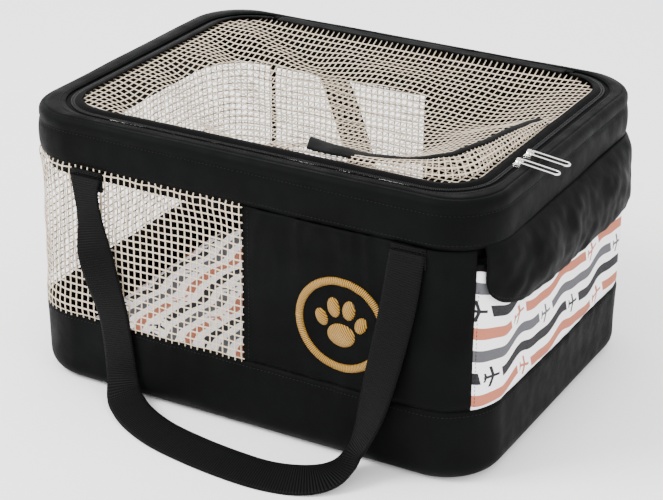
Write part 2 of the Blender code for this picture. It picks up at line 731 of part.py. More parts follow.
def make_handles(webbing):
    """Both handles, with the four sewn roots that hold them."""
    front = (FRONT_HANDLE_HALF_TOP, FRONT_HANDLE_HALF_FOOT, FRONT_TURN_RADIUS, FRONT_LEAN)
    rear = (REAR_HANDLE_HALF_TOP, REAR_HANDLE_HALF_FOOT, REAR_TURN_RADIUS, REAR_LEAN)
    for name, side, middle_x, shape in (("front", -1, FRONT_HANDLE_MIDDLE_X, front), ("rear", 1, 0.0, rear)):
        half_top = shape[0]
        make_handle(name + "_handle", side, middle_x, shape, webbing)
        for end, mirror in (("left", -1), ("right", 1)):
            x = middle_x + mirror * half_top
            near, far = WIDTH / 2 + GAP, WIDTH / 2 + GAP + WEBBING
            low = (x - WEBBING_WIDTH / 2, min(side * near, side * far), ROOT_BOTTOM)
            high = (x + WEBBING_WIDTH / 2, max(side * near, side * far), UPPER_SEAM)
            add_object(f"{name}_handle_root_{end}", box(low, high), webbing)


def make_emblem(gold):
    """The embroidered field: a thin round pad of thread on the front wall."""
    turns = [2 * math.pi * step / EMBLEM_STEPS for step in range(EMBLEM_STEPS)]
    middle = Vector((EMBLEM_X, -WIDTH / 2 - GAP, EMBLEM_HEIGHT))
    points = [middle + EMBLEM_RADIUS * Vector((math.cos(turn), 0.0, math.sin(turn))) for turn in turns]
    add_object("emblem", extruded(points, Vector((0, -EMBLEM_THREAD, 0))), gold)


def main():
    for old in list(bpy.data.objects):
        bpy.data.objects.remove(old, do_unlink=True)
    black = material("black_polyester", (0.012, 0.012, 0.014), 0.75)
    lining = material("black_lining", (0.010, 0.010, 0.011), 0.85)
    foam = material("grey_foam", (0.10, 0.10, 0.11), 0.95)
    net = material("cream_coated_net", (0.78, 0.72, 0.62), 0.55)
    print_cloth = material("printed_cotton", (0.86, 0.84, 0.84), 0.85)
    webbing = material("black_webbing", (0.011, 0.011, 0.012), 0.65)
    closure = material("hook_and_loop", (0.015, 0.015, 0.016), 0.95)
    board = material("plastic_board", (0.05, 0.05, 0.05), 0.55)
    steel = material("spring_steel", (0.55, 0.55, 0.56), 0.35, 1.0)
    nickel = material("nickel_plate", (0.75, 0.74, 0.72), 0.25, 1.0)
    gold = material("gold_thread", (0.62, 0.44, 0.12), 0.45)

    make_floor(black, board, print_cloth)
    make_lower_band(black, foam, lining)
    make_long_walls(black, foam, lining)
    make_side_net(net, black)
    make_end_wall(black, foam, lining)
    make_pocket(print_cloth, black, closure)
    make_flap(black, closure)
    make_rim(black, lining, steel)
    hinge = (0.0, HINGE_Y, HINGE_HEIGHT)
    make_zip(black, hinge)
    make_lid(net, black, hinge)
    for name, y in (("front", SLIDER_FRONT_Y), ("rear", SLIDER_REAR_Y)):
        make_slider("zip_slider_" + name, y, nickel)
        make_pull("zip_pull_" + name, y, nickel)
    make_handles(webbing)
    make_emblem(gold)


main()
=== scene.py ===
"""Looks of the soft-sided pet transport carrier: sewn shell, net windows, zipped net lid and fittings."""

import logging
import math
from dataclasses import dataclass, field
from enum import Enum
from functools import partial
from typing import Callable, Optional, Sequence

import bmesh
import bpy
from mathutils import Matrix, Vector, noise


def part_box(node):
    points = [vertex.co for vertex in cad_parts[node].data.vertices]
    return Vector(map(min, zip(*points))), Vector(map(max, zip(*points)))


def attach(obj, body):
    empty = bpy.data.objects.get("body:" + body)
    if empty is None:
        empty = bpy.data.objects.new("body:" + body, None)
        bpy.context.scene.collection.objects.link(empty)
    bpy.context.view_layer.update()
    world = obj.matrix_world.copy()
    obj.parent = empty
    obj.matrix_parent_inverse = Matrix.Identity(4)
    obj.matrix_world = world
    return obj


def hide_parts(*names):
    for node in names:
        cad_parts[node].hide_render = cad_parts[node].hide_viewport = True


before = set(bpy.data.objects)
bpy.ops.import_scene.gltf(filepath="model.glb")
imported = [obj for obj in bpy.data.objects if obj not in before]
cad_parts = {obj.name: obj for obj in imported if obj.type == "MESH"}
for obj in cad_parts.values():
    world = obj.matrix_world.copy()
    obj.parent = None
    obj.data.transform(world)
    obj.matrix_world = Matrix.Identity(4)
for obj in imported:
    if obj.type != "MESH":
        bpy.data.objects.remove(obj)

LOG = logging.getLogger("carrier")
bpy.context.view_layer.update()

MM = 0.001
# The share of a cell that a cut thread of net stands out by.
STUB = 0.45
UP = Vector((0.0, 0.0, 1.0))
Place = Callable[[float, float], Vector]


class Body(Enum):
    """The bodies of the record that pieces ride on."""

    SHELL = "shell"
    MAT = "mat"
    LID = "lid"
    FLAP = "flap"
    FRONT_HANDLE = "front_handle"
    REAR_HANDLE = "rear_handle"
    SLIDER_FRONT = "zip_slider_front"
    SLIDER_REAR = "zip_slider_rear"
    PULL_FRONT = "zip_pull_front"
    PULL_REAR = "zip_pull_rear"


# --- Small tools -------------------------------------------------------------------------------------


def linear(hex_colour: str) -> tuple[float, float, float, float]:
    """Turns an sRGB hex colour such as "1b1d1e" into linear light.

    Args:
        hex_colour: Six hex digits.

    Returns:
        Red, green, blue and an alpha of one.
    """
    parts = [int(hex_colour[place : place + 2], 16) / 255 for place in (0, 2, 4)]
    light = [part / 12.92 if part <= 0.04045 else ((part + 0.055) / 1.055) ** 2.4 for part in parts]
    return light[0], light[1], light[2], 1.0


def clamp(value: float, low: float, high: float) -> float:
    """The value, held between two limits."""
    return min(max(value, low), high)


def smooth(share: float) -> float:
    """Eases a share from 0 to 1, with no slope at either end."""
    held = clamp(share, 0.0, 1.0)
    return held * held * (3.0 - 2.0 * held)


def ripple(along: float, across: float, size: float, layer: float) -> float:
    """A soft random height from about -1 to 1.

    Args:
        along: First place on the cloth, in metres.
        across: Second place on the cloth, in metres.
        size: Distance between neighbouring swells, in metres.
        layer: Picks one random field out of many.
    """
    return noise.noise(Vector((along / size, across / size, layer)))


def spline(knots: Sequence[Vector], place: float) -> Vector:
    """A point on the smooth curve through the knots.

    Args:
        knots: The points that the curve passes through.
        place: From 0 at the first knot to the number of spans at the last.

    Returns:
        The point, by the Catmull-Rom rule.
    """
    span = clamp(int(place), 0, len(knots) - 2)
    share = place - span
    before = knots[max(span - 1, 0)]
    first, second = knots[span], knots[span + 1]
    after = knots[min(span + 2, len(knots) - 1)]
    return 0.5 * (
        2.0 * first
        + (second - before) * share
        + (2.0 * before - 5.0 * first + 4.0 * second - after) * share**2
        + (3.0 * first - before - 3.0 * second + after) * share**3
    )


# --- Finishes ----------------------------------------------------------------------------------------


def feed(tree: bpy.types.NodeTree, node: bpy.types.Node, values: dict) -> None:
    """Sets the inputs of a shader node.

    Args:
        tree: The material's node tree.
        node: The node.
        values: Input name or number to a value, or to the output socket that feeds it.
    """
    for key, value in values.items():
        if isinstance(value, bpy.types.NodeSocket):
            tree.links.new(value, node.inputs[key])
        else:
            node.inputs[key].default_value = value


def add(tree: bpy.types.NodeTree, kind: str, values: dict, **settings: object) -> bpy.types.Node:
    """Adds a shader node with its settings and its inputs.

    Args:
        tree: The material's node tree.
        kind: The node's type, without its ShaderNode prefix.
        values: The inputs, as feed takes them.
        settings: Properties of the node.

    Returns:
        The new node.
    """
    made = tree.nodes.new("ShaderNode" + kind)
    for name, value in settings.items():
        setattr(made, name, value)
    feed(tree, made, values)
    return made


def calc(
    tree: bpy.types.NodeTree, operation: str, first: object, second: object = 0.0, third: object = 0.0
) -> bpy.types.NodeSocket:
    """One arithmetic step of a material, as a socket."""
    return add(tree, "Math", {0: first, 1: second, 2: third}, operation=operation).outputs[0]


def flat_axes(tree: bpy.types.NodeTree) -> tuple[bpy.types.NodeSocket, bpy.types.NodeSocket]:
    """The place on the flat cloth along U and along V, in metres."""
    split = add(tree, "SeparateXYZ", {0: add(tree, "UVMap", {}).outputs[0]})
    return split.outputs[0], split.outputs[1]


def wave(tree: bpy.types.NodeTree, place: bpy.types.NodeSocket, pitch: float) -> bpy.types.NodeSocket:
    """A sine wave that repeats every pitch along a place."""
    return calc(tree, "SINE", calc(tree, "MULTIPLY", place, math.tau / pitch))


def woven(
    tree: bpy.types.NodeTree, along: bpy.types.NodeSocket, up: bpy.types.NodeSocket, pitch: float
) -> bpy.types.NodeSocket:
    """The height of crossed threads."""
    return calc(tree, "MULTIPLY", wave(tree, along, pitch), wave(tree, up, pitch))


def mottle(tree: bpy.types.NodeTree, scale: float, detail: float = 2.0) -> bpy.types.NodeSocket:
    """A random value that is fixed to the object, with so many swells to the metre."""
    place = add(tree, "TexCoord", {}).outputs["Object"]
    return add(tree, "TexNoise", {"Vector": place, "Scale": scale, "Detail": detail}).outputs[0]


def blend(tree: bpy.types.NodeTree, share: object, first: object, second: object) -> bpy.types.NodeSocket:
    """Mixes two colours by a share of the second."""
    return add(tree, "Mix", {0: share, 6: first, 7: second}, data_type="RGBA").outputs[2]


def remap(
    tree: bpy.types.NodeTree, value: object, old: tuple[float, float], new: tuple[float, float]
) -> bpy.types.NodeSocket:
    """Stretches one range of values to another."""
    return add(tree, "MapRange", {0: value, 1: old[0], 2: old[1], 3: new[0], 4: new[1]}).outputs[0]


def bump(
    tree: bpy.types.NodeTree,
    height: bpy.types.NodeSocket,
    strength: float,
    distance: float,
    under: Optional[bpy.types.NodeSocket] = None,
) -> bpy.types.NodeSocket:
    """Raises a surface by a height, over another bump where one is given."""
    values = {"Height": height, "Strength": strength, "Distance": distance}
    if under is not None:
        values["Normal"] = under
    return add(tree, "Bump", values).outputs[0]


@dataclass(frozen=True)
class Finish:
    """What every finish shares: its name, colour and gloss."""

    name: str
    colour: str
    roughness: float

    def build(self) -> bpy.types.Material:
        """Makes the material: its colour and gloss, and then what its own kind adds."""
        material = bpy.data.materials.new(self.name)
        material.use_nodes = True
        tree = material.node_tree
        shader = tree.nodes["Principled BSDF"]
        feed(tree, shader, {"Base Color": linear(self.colour), "Roughness": self.roughness})
        feed(tree, shader, self.surface(tree))
        return material

    def surface(self, tree: bpy.types.NodeTree) -> dict:
        """What this kind of finish feeds to the shader, by the names of its inputs."""
        raise NotImplementedError


@dataclass(frozen=True)
class WovenCloth(Finish):
    """Plain-woven polyester: fine crossed threads, a soft sheen on folds and a little uneven dye."""

    tint: str = "090a0a"
    pitch: float = 1.5 * MM
    weave: float = 0.25
    crease: float = 0.35
    sheen: float = 0.004
    shine: float = 0.03

    def surface(self, tree: bpy.types.NodeTree) -> dict:
        """Threads over creases. The threads are about three times as coarse as real ones, to show."""
        threads = woven(tree, *flat_axes(tree), self.pitch)
        cloud, fold = mottle(tree, 22.0, 4.0), mottle(tree, 60.0, 3.0)
        return {
            "Base Color": blend(tree, cloud, linear(self.colour), linear(self.tint)),
            "Roughness": remap(tree, fold, (0.3, 0.7), (self.roughness - 0.08, self.roughness + 0.08)),
            "Normal": bump(tree, threads, self.weave, 0.25 * MM, bump(tree, fold, self.crease, 2.5 * MM)),
            "Sheen Weight": self.sheen,
            "Sheen Roughness": 0.45,
            "Specular IOR Level": self.shine,
        }


@dataclass(frozen=True)
class CoatedNet(Finish):
    """Polyester net dipped in soft vinyl: rounded cream threads with a satin skin and thicker crossings."""

    tint: str = "a99a84"

    def surface(self, tree: bpy.types.NodeTree) -> dict:
        """An uneven cream that lets a little light through, with a fine grain."""
        return {
            "Base Color": blend(tree, mottle(tree, 90.0, 5.0), linear(self.colour), linear(self.tint)),
            "Normal": bump(tree, mottle(tree, 900.0), 0.2, 0.3 * MM),
            "Subsurface Weight": 0.08,
            "Subsurface Radius": (0.002, 0.0018, 0.0014),
        }


@dataclass(frozen=True)
class PrintedCotton(Finish):
    """White cotton with hand-drawn wavy bands, broken by small aeroplane shapes, in three inks.

    The bands run along U, and their row repeats along V.
    """

    inks: tuple[str, str, str] = ("a4604a", "18171b", "4c4c50")
    row: float = 17.5 * MM
    band: float = 9.0 * MM
    repeat: float = 150.0 * MM
    break_length: float = 26.0 * MM

    def surface(self, tree: bpy.types.NodeTree) -> dict:
        """The print, worked out from the place on the flat cloth, over a plain weave."""
        do = partial(calc, tree)
        along, up = flat_axes(tree)

        def from_middle_of(place: bpy.types.NodeSocket, cell: float) -> bpy.types.NodeSocket:
            """The distance from the middle of the cell that a place falls in."""
            share = do("FRACT", do("DIVIDE", place, cell))
            return do("SUBTRACT", do("MULTIPLY", share, cell), cell / 2)

        # Slow waves, and a drift from row to row so that no two bands look alike.
        slow = do("MULTIPLY", wave(tree, along, 0.087), 3.2 * MM)
        short = do("MULTIPLY", do("SINE", do("MULTIPLY_ADD", along, math.tau / 0.041, 1.3)), 1.2 * MM)
        waved = do("ADD", up, do("ADD", slow, short))
        row = do("FLOOR", do("DIVIDE", waved, self.row))
        from_middle = from_middle_of(waved, self.row)
        # Each row's breaks are moved along by a share of the repeat.
        in_repeat = from_middle_of(do("MULTIPLY_ADD", row, self.repeat * 0.37, along), self.repeat)
        side = do("ABSOLUTE", from_middle)
        slant = do("ABSOLUTE", do("MULTIPLY_ADD", from_middle, 0.35, in_repeat))
        unbroken = do("GREATER_THAN", slant, self.break_length / 2)
        ink_here = do("MULTIPLY", do("LESS_THAN", side, self.band / 2), unbroken)
        # An aeroplane: a slim body, then swept wings and a small tail, each with the place, the half
        # chord and the half span.
        far = do("ABSOLUTE", in_repeat)
        body = do("MULTIPLY", do("LESS_THAN", side, 1.15 * MM), do("LESS_THAN", far, 8.8 * MM))
        ink_here = do("MAXIMUM", ink_here, body)
        swept = do("MULTIPLY_ADD", side, 0.45, in_repeat)
        for shift, chord, span in ((-1.0, 1.6, 8.3), (6.6, 1.1, 3.6)):
            across = do("LESS_THAN", do("ABSOLUTE", do("ADD", swept, shift * MM)), chord * MM)
            ink_here = do("MAXIMUM", ink_here, do("MULTIPLY", across, do("LESS_THAN", side, span * MM)))
        third = do("FLOORED_MODULO", row, 3.0)
        ink = linear(self.inks[0])
        for limit, colour in ((0.5, self.inks[1]), (1.5, self.inks[2])):
            ink = blend(tree, do("GREATER_THAN", third, limit), ink, linear(colour))
        cover = do("MULTIPLY", ink_here, do("MULTIPLY_ADD", mottle(tree, 700.0), 0.05, 0.965))
        return {
            "Base Color": blend(tree, cover, linear(self.colour), ink),
            "Normal": bump(tree, woven(tree, along, up, 1.1 * MM), 0.2, 0.2 * MM),
            "Sheen Weight": 0.02,
            "Specular IOR Level": 0.1,
        }


@dataclass(frozen=True)
class Webbing(Finish):
    """Narrow-woven polyester webbing: bold ribs straight across, fine yarns along and a slight shine."""

    rib: float = 2.1 * MM
    yarn: float = 1.6 * MM

    def surface(self, tree: bpy.types.NodeTree) -> dict:
        """Ribs, with painted shade in their grooves. U runs across the strap and V along it."""
        across, along = flat_axes(tree)
        ribs = calc(tree, "ABSOLUTE", wave(tree, along, 2 * self.rib))
        height = calc(tree, "MULTIPLY_ADD", wave(tree, across, self.yarn), 0.12, ribs)
        # Painted shade: the base colour darkens to near black in the grooves between the ribs.
        return {
            "Base Color": blend(tree, ribs, linear("010101"), linear(self.colour)),
            "Normal": bump(tree, height, 0.75, 0.6 * MM),
            "Sheen Weight": 0.003,
            "Specular IOR Level": 0.05,
        }


@dataclass(frozen=True)
class PlatedMetal(Finish):
    """Nickel-plated zinc or drawn steel wire: bright, with faint handling marks that blur its gloss."""

    def surface(self, tree: bpy.types.NodeTree) -> dict:
        """Bare metal, duller where it has been handled."""
        gloss = remap(tree, mottle(tree, 420.0, 6.0), (0.3, 0.8), (self.roughness, self.roughness + 0.16))
        return {"Metallic": 1.0, "Roughness": gloss}


@dataclass(frozen=True)
class SatinThread(Finish):
    """Rayon embroidery thread laid side by side: gold on each thread, painted shade in the grooves between.
    """

    thread: float = 1.7 * MM

    def surface(self, tree: bpy.types.NodeTree) -> dict:
        """Rounded threads, about twice as thick as real ones, to show, with painted shade in the grooves.
        """
        across, _ = flat_axes(tree)
        round_top = calc(tree, "ABSOLUTE", wave(tree, across, 2 * self.thread))
        # Painted shade: the base colour darkens to near black in the grooves between threads.
        return {
            "Base Color": blend(tree, round_top, linear("1e1201"), linear(self.colour)),
            "Normal": bump(tree, round_top, 1.0, 0.9 * MM),
            "Sheen Weight": 0.05,
            "Anisotropic": 0.4,
        }


@dataclass(frozen=True)
class GrainedPlastic(Finish):
    """Moulded or extruded plastic with a fine even grain, such as zip teeth, thread ends and board."""

    grain: float = 500.0
    depth: float = 0.3
    shine: float = 0.3

    def surface(self, tree: bpy.types.NodeTree) -> dict:
        """A fine grain all over."""
        height = mottle(tree, self.grain, 4.0)
        return {"Normal": bump(tree, height, self.depth, 0.4 * MM), "Specular IOR Level": self.shine}


class Finishes:
    """Every material of the carrier, made once."""

    def __init__(self) -> None:
        """Builds the materials."""
        self.polyester = WovenCloth("woven polyester", "040404", 0.55).build()
        self.lining = WovenCloth(
            "polyester lining", "030303", 0.6, tint="060606", weave=0.15, sheen=0.0, shine=0.05
        ).build()
        self.zip_tape = WovenCloth(
            "knitted zip tape", "060606", 0.7, tint="0b0b0c", pitch=1.8 * MM, weave=0.6
        ).build()
        self.net = CoatedNet("vinyl-coated net", "c6b6a0", 0.45).build()
        self.printed = PrintedCotton("printed cotton", "f1eef0", 0.8).build()
        self.webbing = Webbing("polyester webbing", "0a0a0b", 0.5).build()
        self.nickel = PlatedMetal("nickel plate", "dcdad6", 0.14).build()
        self.steel = PlatedMetal("drawn spring steel", "a9a9ab", 0.3).build()
        self.gold = SatinThread("gold rayon thread", "a67812", 0.34).build()
        self.teeth = GrainedPlastic("nylon zip coil", "121214", 0.3).build()
        self.stitching = GrainedPlastic(
            "polyester sewing thread", "0c0d0e", 0.5, grain=900.0, shine=0.15
        ).build()
        self.board = GrainedPlastic("polypropylene board", "121214", 0.55, grain=260.0).build()
        self.hooks = GrainedPlastic(
            "hook and loop tape", "060606", 0.9, grain=1400.0, depth=1.0, shine=0.05
        ).build()


# --- Plans and cloth ---------------------------------------------------------------------------------


@dataclass(frozen=True)
class Plan:
    """A rounded rectangle seen from above, walked anticlockwise from the middle of its front side."""

    half_x: float
    half_y: float
    radius: float
    middle_x: float = 0.0
    middle_y: float = 0.0

    @property
    def arc(self) -> float:
        """Length of one corner."""
        return math.pi * self.radius / 2

    @property
    def straights(self) -> tuple[float, ...]:
        """Lengths of the straight legs: half the front, +X side, back, -X side, other half of the front."""
        run_x, run_y = self.half_x - self.radius, self.half_y - self.radius
        return run_x, 2 * run_y, 2 * run_x, 2 * run_y, run_x

    @property
    def perimeter(self) -> float:
        """Length all round."""
        return sum(self.straights) + 4 * self.arc

    def inset(self, distance: float) -> "Plan":
        """The plan moved inwards all round by a distance."""
        return Plan(
            self.half_x - distance,
            self.half_y - distance,
            self.radius - distance,
            self.middle_x,
            self.middle_y,
        )

    def locate(self, distance: float) -> tuple[int, float]:
        """Finds a distance along the walk.

        Args:
            distance: Metres from the middle of the front side, anticlockwise.

        Returns:
            The leg's number, with straights even and corners odd, and the share of that leg.
        """
        left = distance % self.perimeter
        for number, straight in enumerate(self.straights):
            if left <= straight or number == 4:
                return 2 * number, min(left / straight, 1.0)
            left -= straight
            if left <= self.arc:
                return 2 * number + 1, left / self.arc
            left -= self.arc
        return 8, 1.0

    def place(self, leg: int, share: float) -> tuple[Vector, Vector]:
        """A point on the plan and its outward normal, both flat at z = 0.

        Args:
            leg: The leg's number, as locate gives it.
            share: The share of that leg.
        """
        run_x, run_y = self.half_x - self.radius, self.half_y - self.radius
        corner = (leg // 2) % 4
        quarter = math.pi / 2
        turn = (corner - 1) * quarter
        centres = ((run_x, -run_y), (run_x, run_y), (-run_x, run_y), (-run_x, -run_y))
        centre = Vector((centres[corner][0] + self.middle_x, centres[corner][1] + self.middle_y, 0.0))
        if leg % 2:
            turn += share * quarter
        normal = Vector((math.cos(turn), math.sin(turn), 0.0))
        point = centre + self.radius * normal
        if leg % 2 == 0:
            along = Vector((-normal.y, normal.x, 0.0))
            length = self.straights[leg // 2]
            point = point - along * length * (1.0 - share)
            if leg == 8:
                point = point - along * self.straights[0]
        return point, normal

    def hold(self, x: float, y: float) -> tuple[float, float]:
        """The nearest point to (x, y), both from the plan's middle, that isn't outside the plan."""
        near_x = clamp(x, self.radius - self.half_x, self.half_x - self.radius)
        near_y = clamp(y, self.radius - self.half_y, self.half_y - self.radius)
        away = Vector((x - near_x, y - near_y))
        if away.length > self.radius:
            away *= self.radius / away.length
        return near_x + away.x, near_y + away.y

    def inside(self, x: float, y: float) -> float:
        """How far (x, y), from the plan's middle, is inside the plan; below zero outside it."""
        out_x = max(abs(x) - (self.half_x - self.radius), 0.0)
        out_y = max(abs(y) - (self.half_y - self.radius), 0.0)
        if out_x > 0.0 and out_y > 0.0:
            return self.radius - math.hypot(out_x, out_y)
        return min(self.half_x - abs(x), self.half_y - abs(y))

    def at(self, distance: float) -> tuple[Vector, Vector]:
        """A point on the plan and its outward normal, by distance along the walk."""
        return self.place(*self.locate(distance))


def placed(name: str, data: bpy.types.ID) -> bpy.types.Object:
    """Puts a mesh, a lamp or a camera in the scene."""
    made = bpy.data.objects.new(name, data)
    bpy.context.scene.collection.objects.link(made)
    return made


def mesh_from(name: str, shape: bmesh.types.BMesh) -> bpy.types.Mesh:
    """Turns a bmesh into a mesh, and frees it."""
    mesh = bpy.data.meshes.new(name)
    shape.to_mesh(mesh)
    shape.free()
    return mesh


def finished(
    name: str,
    shape: bmesh.types.BMesh,
    dress: bpy.types.Material,
    body: Body,
    replaces: Sequence[str] = (),
    thickness: float = 0.0,
    offset: float = -1.0,
    sharp: float = 180.0,
) -> bpy.types.Object:
    """Turns a bmesh into a piece of the carrier.

    Args:
        name: The piece's name.
        shape: The mesh, in place; it is freed.
        dress: The material.
        body: What the piece rides on.
        replaces: The CAD nodes that it stands for.
        thickness: The thickness that a Solidify modifier gives, or 0 for none.
        offset: Solidify's offset: -1 thickens inwards, 1 outwards.
        sharp: Edges that bend by more degrees than this stay sharp.

    Returns:
        The object.
    """
    mesh = mesh_from(name, shape)
    mesh.materials.append(dress)
    mesh.shade_smooth()
    if sharp < 180.0:
        mesh.set_sharp_from_angle(angle=math.radians(sharp))
    made = placed(name, mesh)
    if thickness:
        solid = made.modifiers.new("thickness", "SOLIDIFY")
        solid.thickness = thickness
        solid.offset = offset
    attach(made, body.value)
    if replaces:
        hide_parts(*replaces)
    LOG.info("%s: %d faces", name, len(mesh.polygons))
    return made


def grid(width: float, height: float, step: float, place: Place, closed: bool = False) -> bmesh.types.BMesh:
    """Cuts a rectangle of cloth and shapes it, with its flat size kept as a UV map in metres.

    Args:
        width: Flat size along U.
        height: Flat size along V.
        step: About the size of one face.
        place: Gives a point in the row frame for a flat one.
        closed: Whether the first edge meets the last one along U.

    Returns:
        The shaped mesh.
    """
    shape = bmesh.new()
    columns, rows = max(round(width / step), 2), max(round(height / step), 1)
    bmesh.ops.create_grid(shape, x_segments=columns, y_segments=rows, size=0.5)
    layer = shape.loops.layers.uv.new("UVMap")
    for face in shape.faces:
        for loop in face.loops:
            flat = loop.vert.co
            loop[layer].uv = ((flat.x + 0.5) * width, (flat.y + 0.5) * height)
    for vert in shape.verts:
        vert.co = place((vert.co.x + 0.5) * width, (vert.co.y + 0.5) * height)
    if closed:
        bmesh.ops.remove_doubles(shape, verts=shape.verts, dist=0.01 * MM)
    return shape


def net_grid(
    width: float,
    height: float,
    pitch: float,
    thread: float,
    place: Place,
    keep: Optional[Callable[[float, float], bool]] = None,
    stubs: bool = True,
) -> bmesh.types.BMesh:
    """Cuts a piece of square net and shapes it.

    Args:
        width: Flat size along U.
        height: Flat size along V.
        pitch: Distance between neighbouring threads.
        thread: Width of a thread.
        place: Gives a point in the row frame for a flat one.
        keep: Says whether the square round a flat point is part of the cut, or None for all of them.
        stubs: Whether the net is cut between two threads, which leaves short ends all round.

    Returns:
        The flat-threaded net; the middle line of its threads has a weight of 1 in a deform layer.
    """
    shape = bmesh.new()
    columns, rows = max(round(width / pitch), 1), max(round(height / pitch), 1)
    bmesh.ops.create_grid(shape, x_segments=columns, y_segments=rows, size=0.5)
    bmesh.ops.scale(shape, vec=(width, height, 1.0), verts=shape.verts)
    bmesh.ops.translate(shape, vec=(width / 2, height / 2, 0.0), verts=shape.verts)
    if keep is not None:
        outside = [face for face in shape.faces if not keep(*face.calc_center_median().to_2d())]
        bmesh.ops.delete(shape, geom=outside, context="FACES")
    deform = shape.verts.layers.deform.verify()
    for vert in shape.verts:
        vert[deform][0] = 1.0
    holes = list(shape.faces)
    bmesh.ops.inset_individual(shape, faces=holes, thickness=thread / 2, use_even_offset=True)
    for hole in holes:
        for vert in hole.verts:
            vert[deform][0] = 0.0
    outer = set()
    if stubs:
        outer = {face for edge in shape.edges if edge.is_boundary for face in edge.link_faces}
    bmesh.ops.delete(shape, geom=list(set(holes) | outer), context="FACES")
    layer = shape.loops.layers.uv.new("UVMap")
    for face in shape.faces:
        for loop in face.loops:
            loop[layer].uv = loop.vert.co.to_2d()

    def trimmed(value: float, full: float, cells: int) -> float:
        """The place of a point, with the ends that stand out round a cut drawn in."""
        if not stubs or keep is not None:
            return value
        cell = full / cells
        over = max(cell - value, value - full + cell, 0.0) * (1.0 - STUB)
        return value + over if value < cell else value - over

    for vert in shape.verts:
        vert.co = place(trimmed(vert.co.x, width, columns), trimmed(vert.co.y, height, rows))
    return shape


def net_piece(
    name: str, shape: bmesh.types.BMesh, dress: bpy.types.Material, body: Body, **rest: object
) -> bpy.types.Object:
    """Gives a flat-threaded net its rounded threads.

    Args:
        name: The piece's name.
        shape: The net from net_grid.
        dress: The material.
        body: What the piece rides on.
        rest: Further arguments of finished.

    Returns:
        The object.
    """
    made = finished(name, shape, dress, body, thickness=0.8 * MM, offset=0.0, **rest)
    made.vertex_groups.new(name="thread middle")
    solid = made.modifiers["thickness"]
    solid.vertex_group = "thread middle"
    solid.thickness_vertex_group = 0.6
    return made


def stitches(
    name: str,
    line: Sequence[tuple[Vector, Vector]],
    dress: bpy.types.Material,
    body: Body,
    pitch: float = 3.4 * MM,
    length: float = 2.4 * MM,
    width: float = 0.55 * MM,
) -> bpy.types.Object:
    """Sews a line of short raised stitches along a path.

    Args:
        name: The piece's name.
        line: Points on the cloth, each with the cloth's normal there.
        dress: The thread's material.
        body: What the piece rides on.
        pitch: Distance from one stitch to the next.
        length: Length of a stitch.
        width: Width of a stitch.

    Returns:
        The object.
    """
    shape = bmesh.new()
    left = pitch / 2
    for (first, normal), (second, _) in zip(line, line[1:]):
        span = (second - first).length
        if span < 1e-7:
            continue
        along = (second - first) / span
        side = along.cross(normal).normalized()
        turn = Matrix((along, side, side.cross(along))).transposed().to_4x4()
        while left < span:
            size = Matrix.Diagonal((length / 2, width / 2, width / 2, 1.0))
            where = Matrix.Translation(first + along * left) @ turn @ size
            bmesh.ops.create_icosphere(shape, subdivisions=1, radius=1.0, matrix=where)
            left += pitch
        left -= span
    return finished(name, shape, dress, body)


def cloth(
    name: str,
    size: tuple[float, float],
    place: Place,
    dress: bpy.types.Material,
    body: Body = Body.SHELL,
    replaces: Sequence[str] = (),
    step: float = 4 * MM,
    thickness: float = 1.0 * MM,
    offset: float = -1.0,
    closed: bool = False,
) -> None:
    """Makes one flat-cut piece of cloth, webbing or tape, with its flat size kept as a UV map.

    Args:
        name: The piece's name.
        size: Flat width and height.
        place: Gives a point in the row frame for a flat one.
        dress: The material.
        body: What the piece rides on.
        replaces: The CAD nodes that it stands for, where they aren't just the one of its name.
        step: About the size of one face.
        thickness: Thickness of the cloth.
        offset: -1 thickens inwards, 0 both ways, 1 outwards.
        closed: Whether the first edge meets the last one along the width.
    """
    shape = grid(size[0], size[1], step, place, closed)
    made = finished(name, shape, dress, body, replaces or [name.lower()], thickness, offset)


# --- The shell ---------------------------------------------------------------------------------------


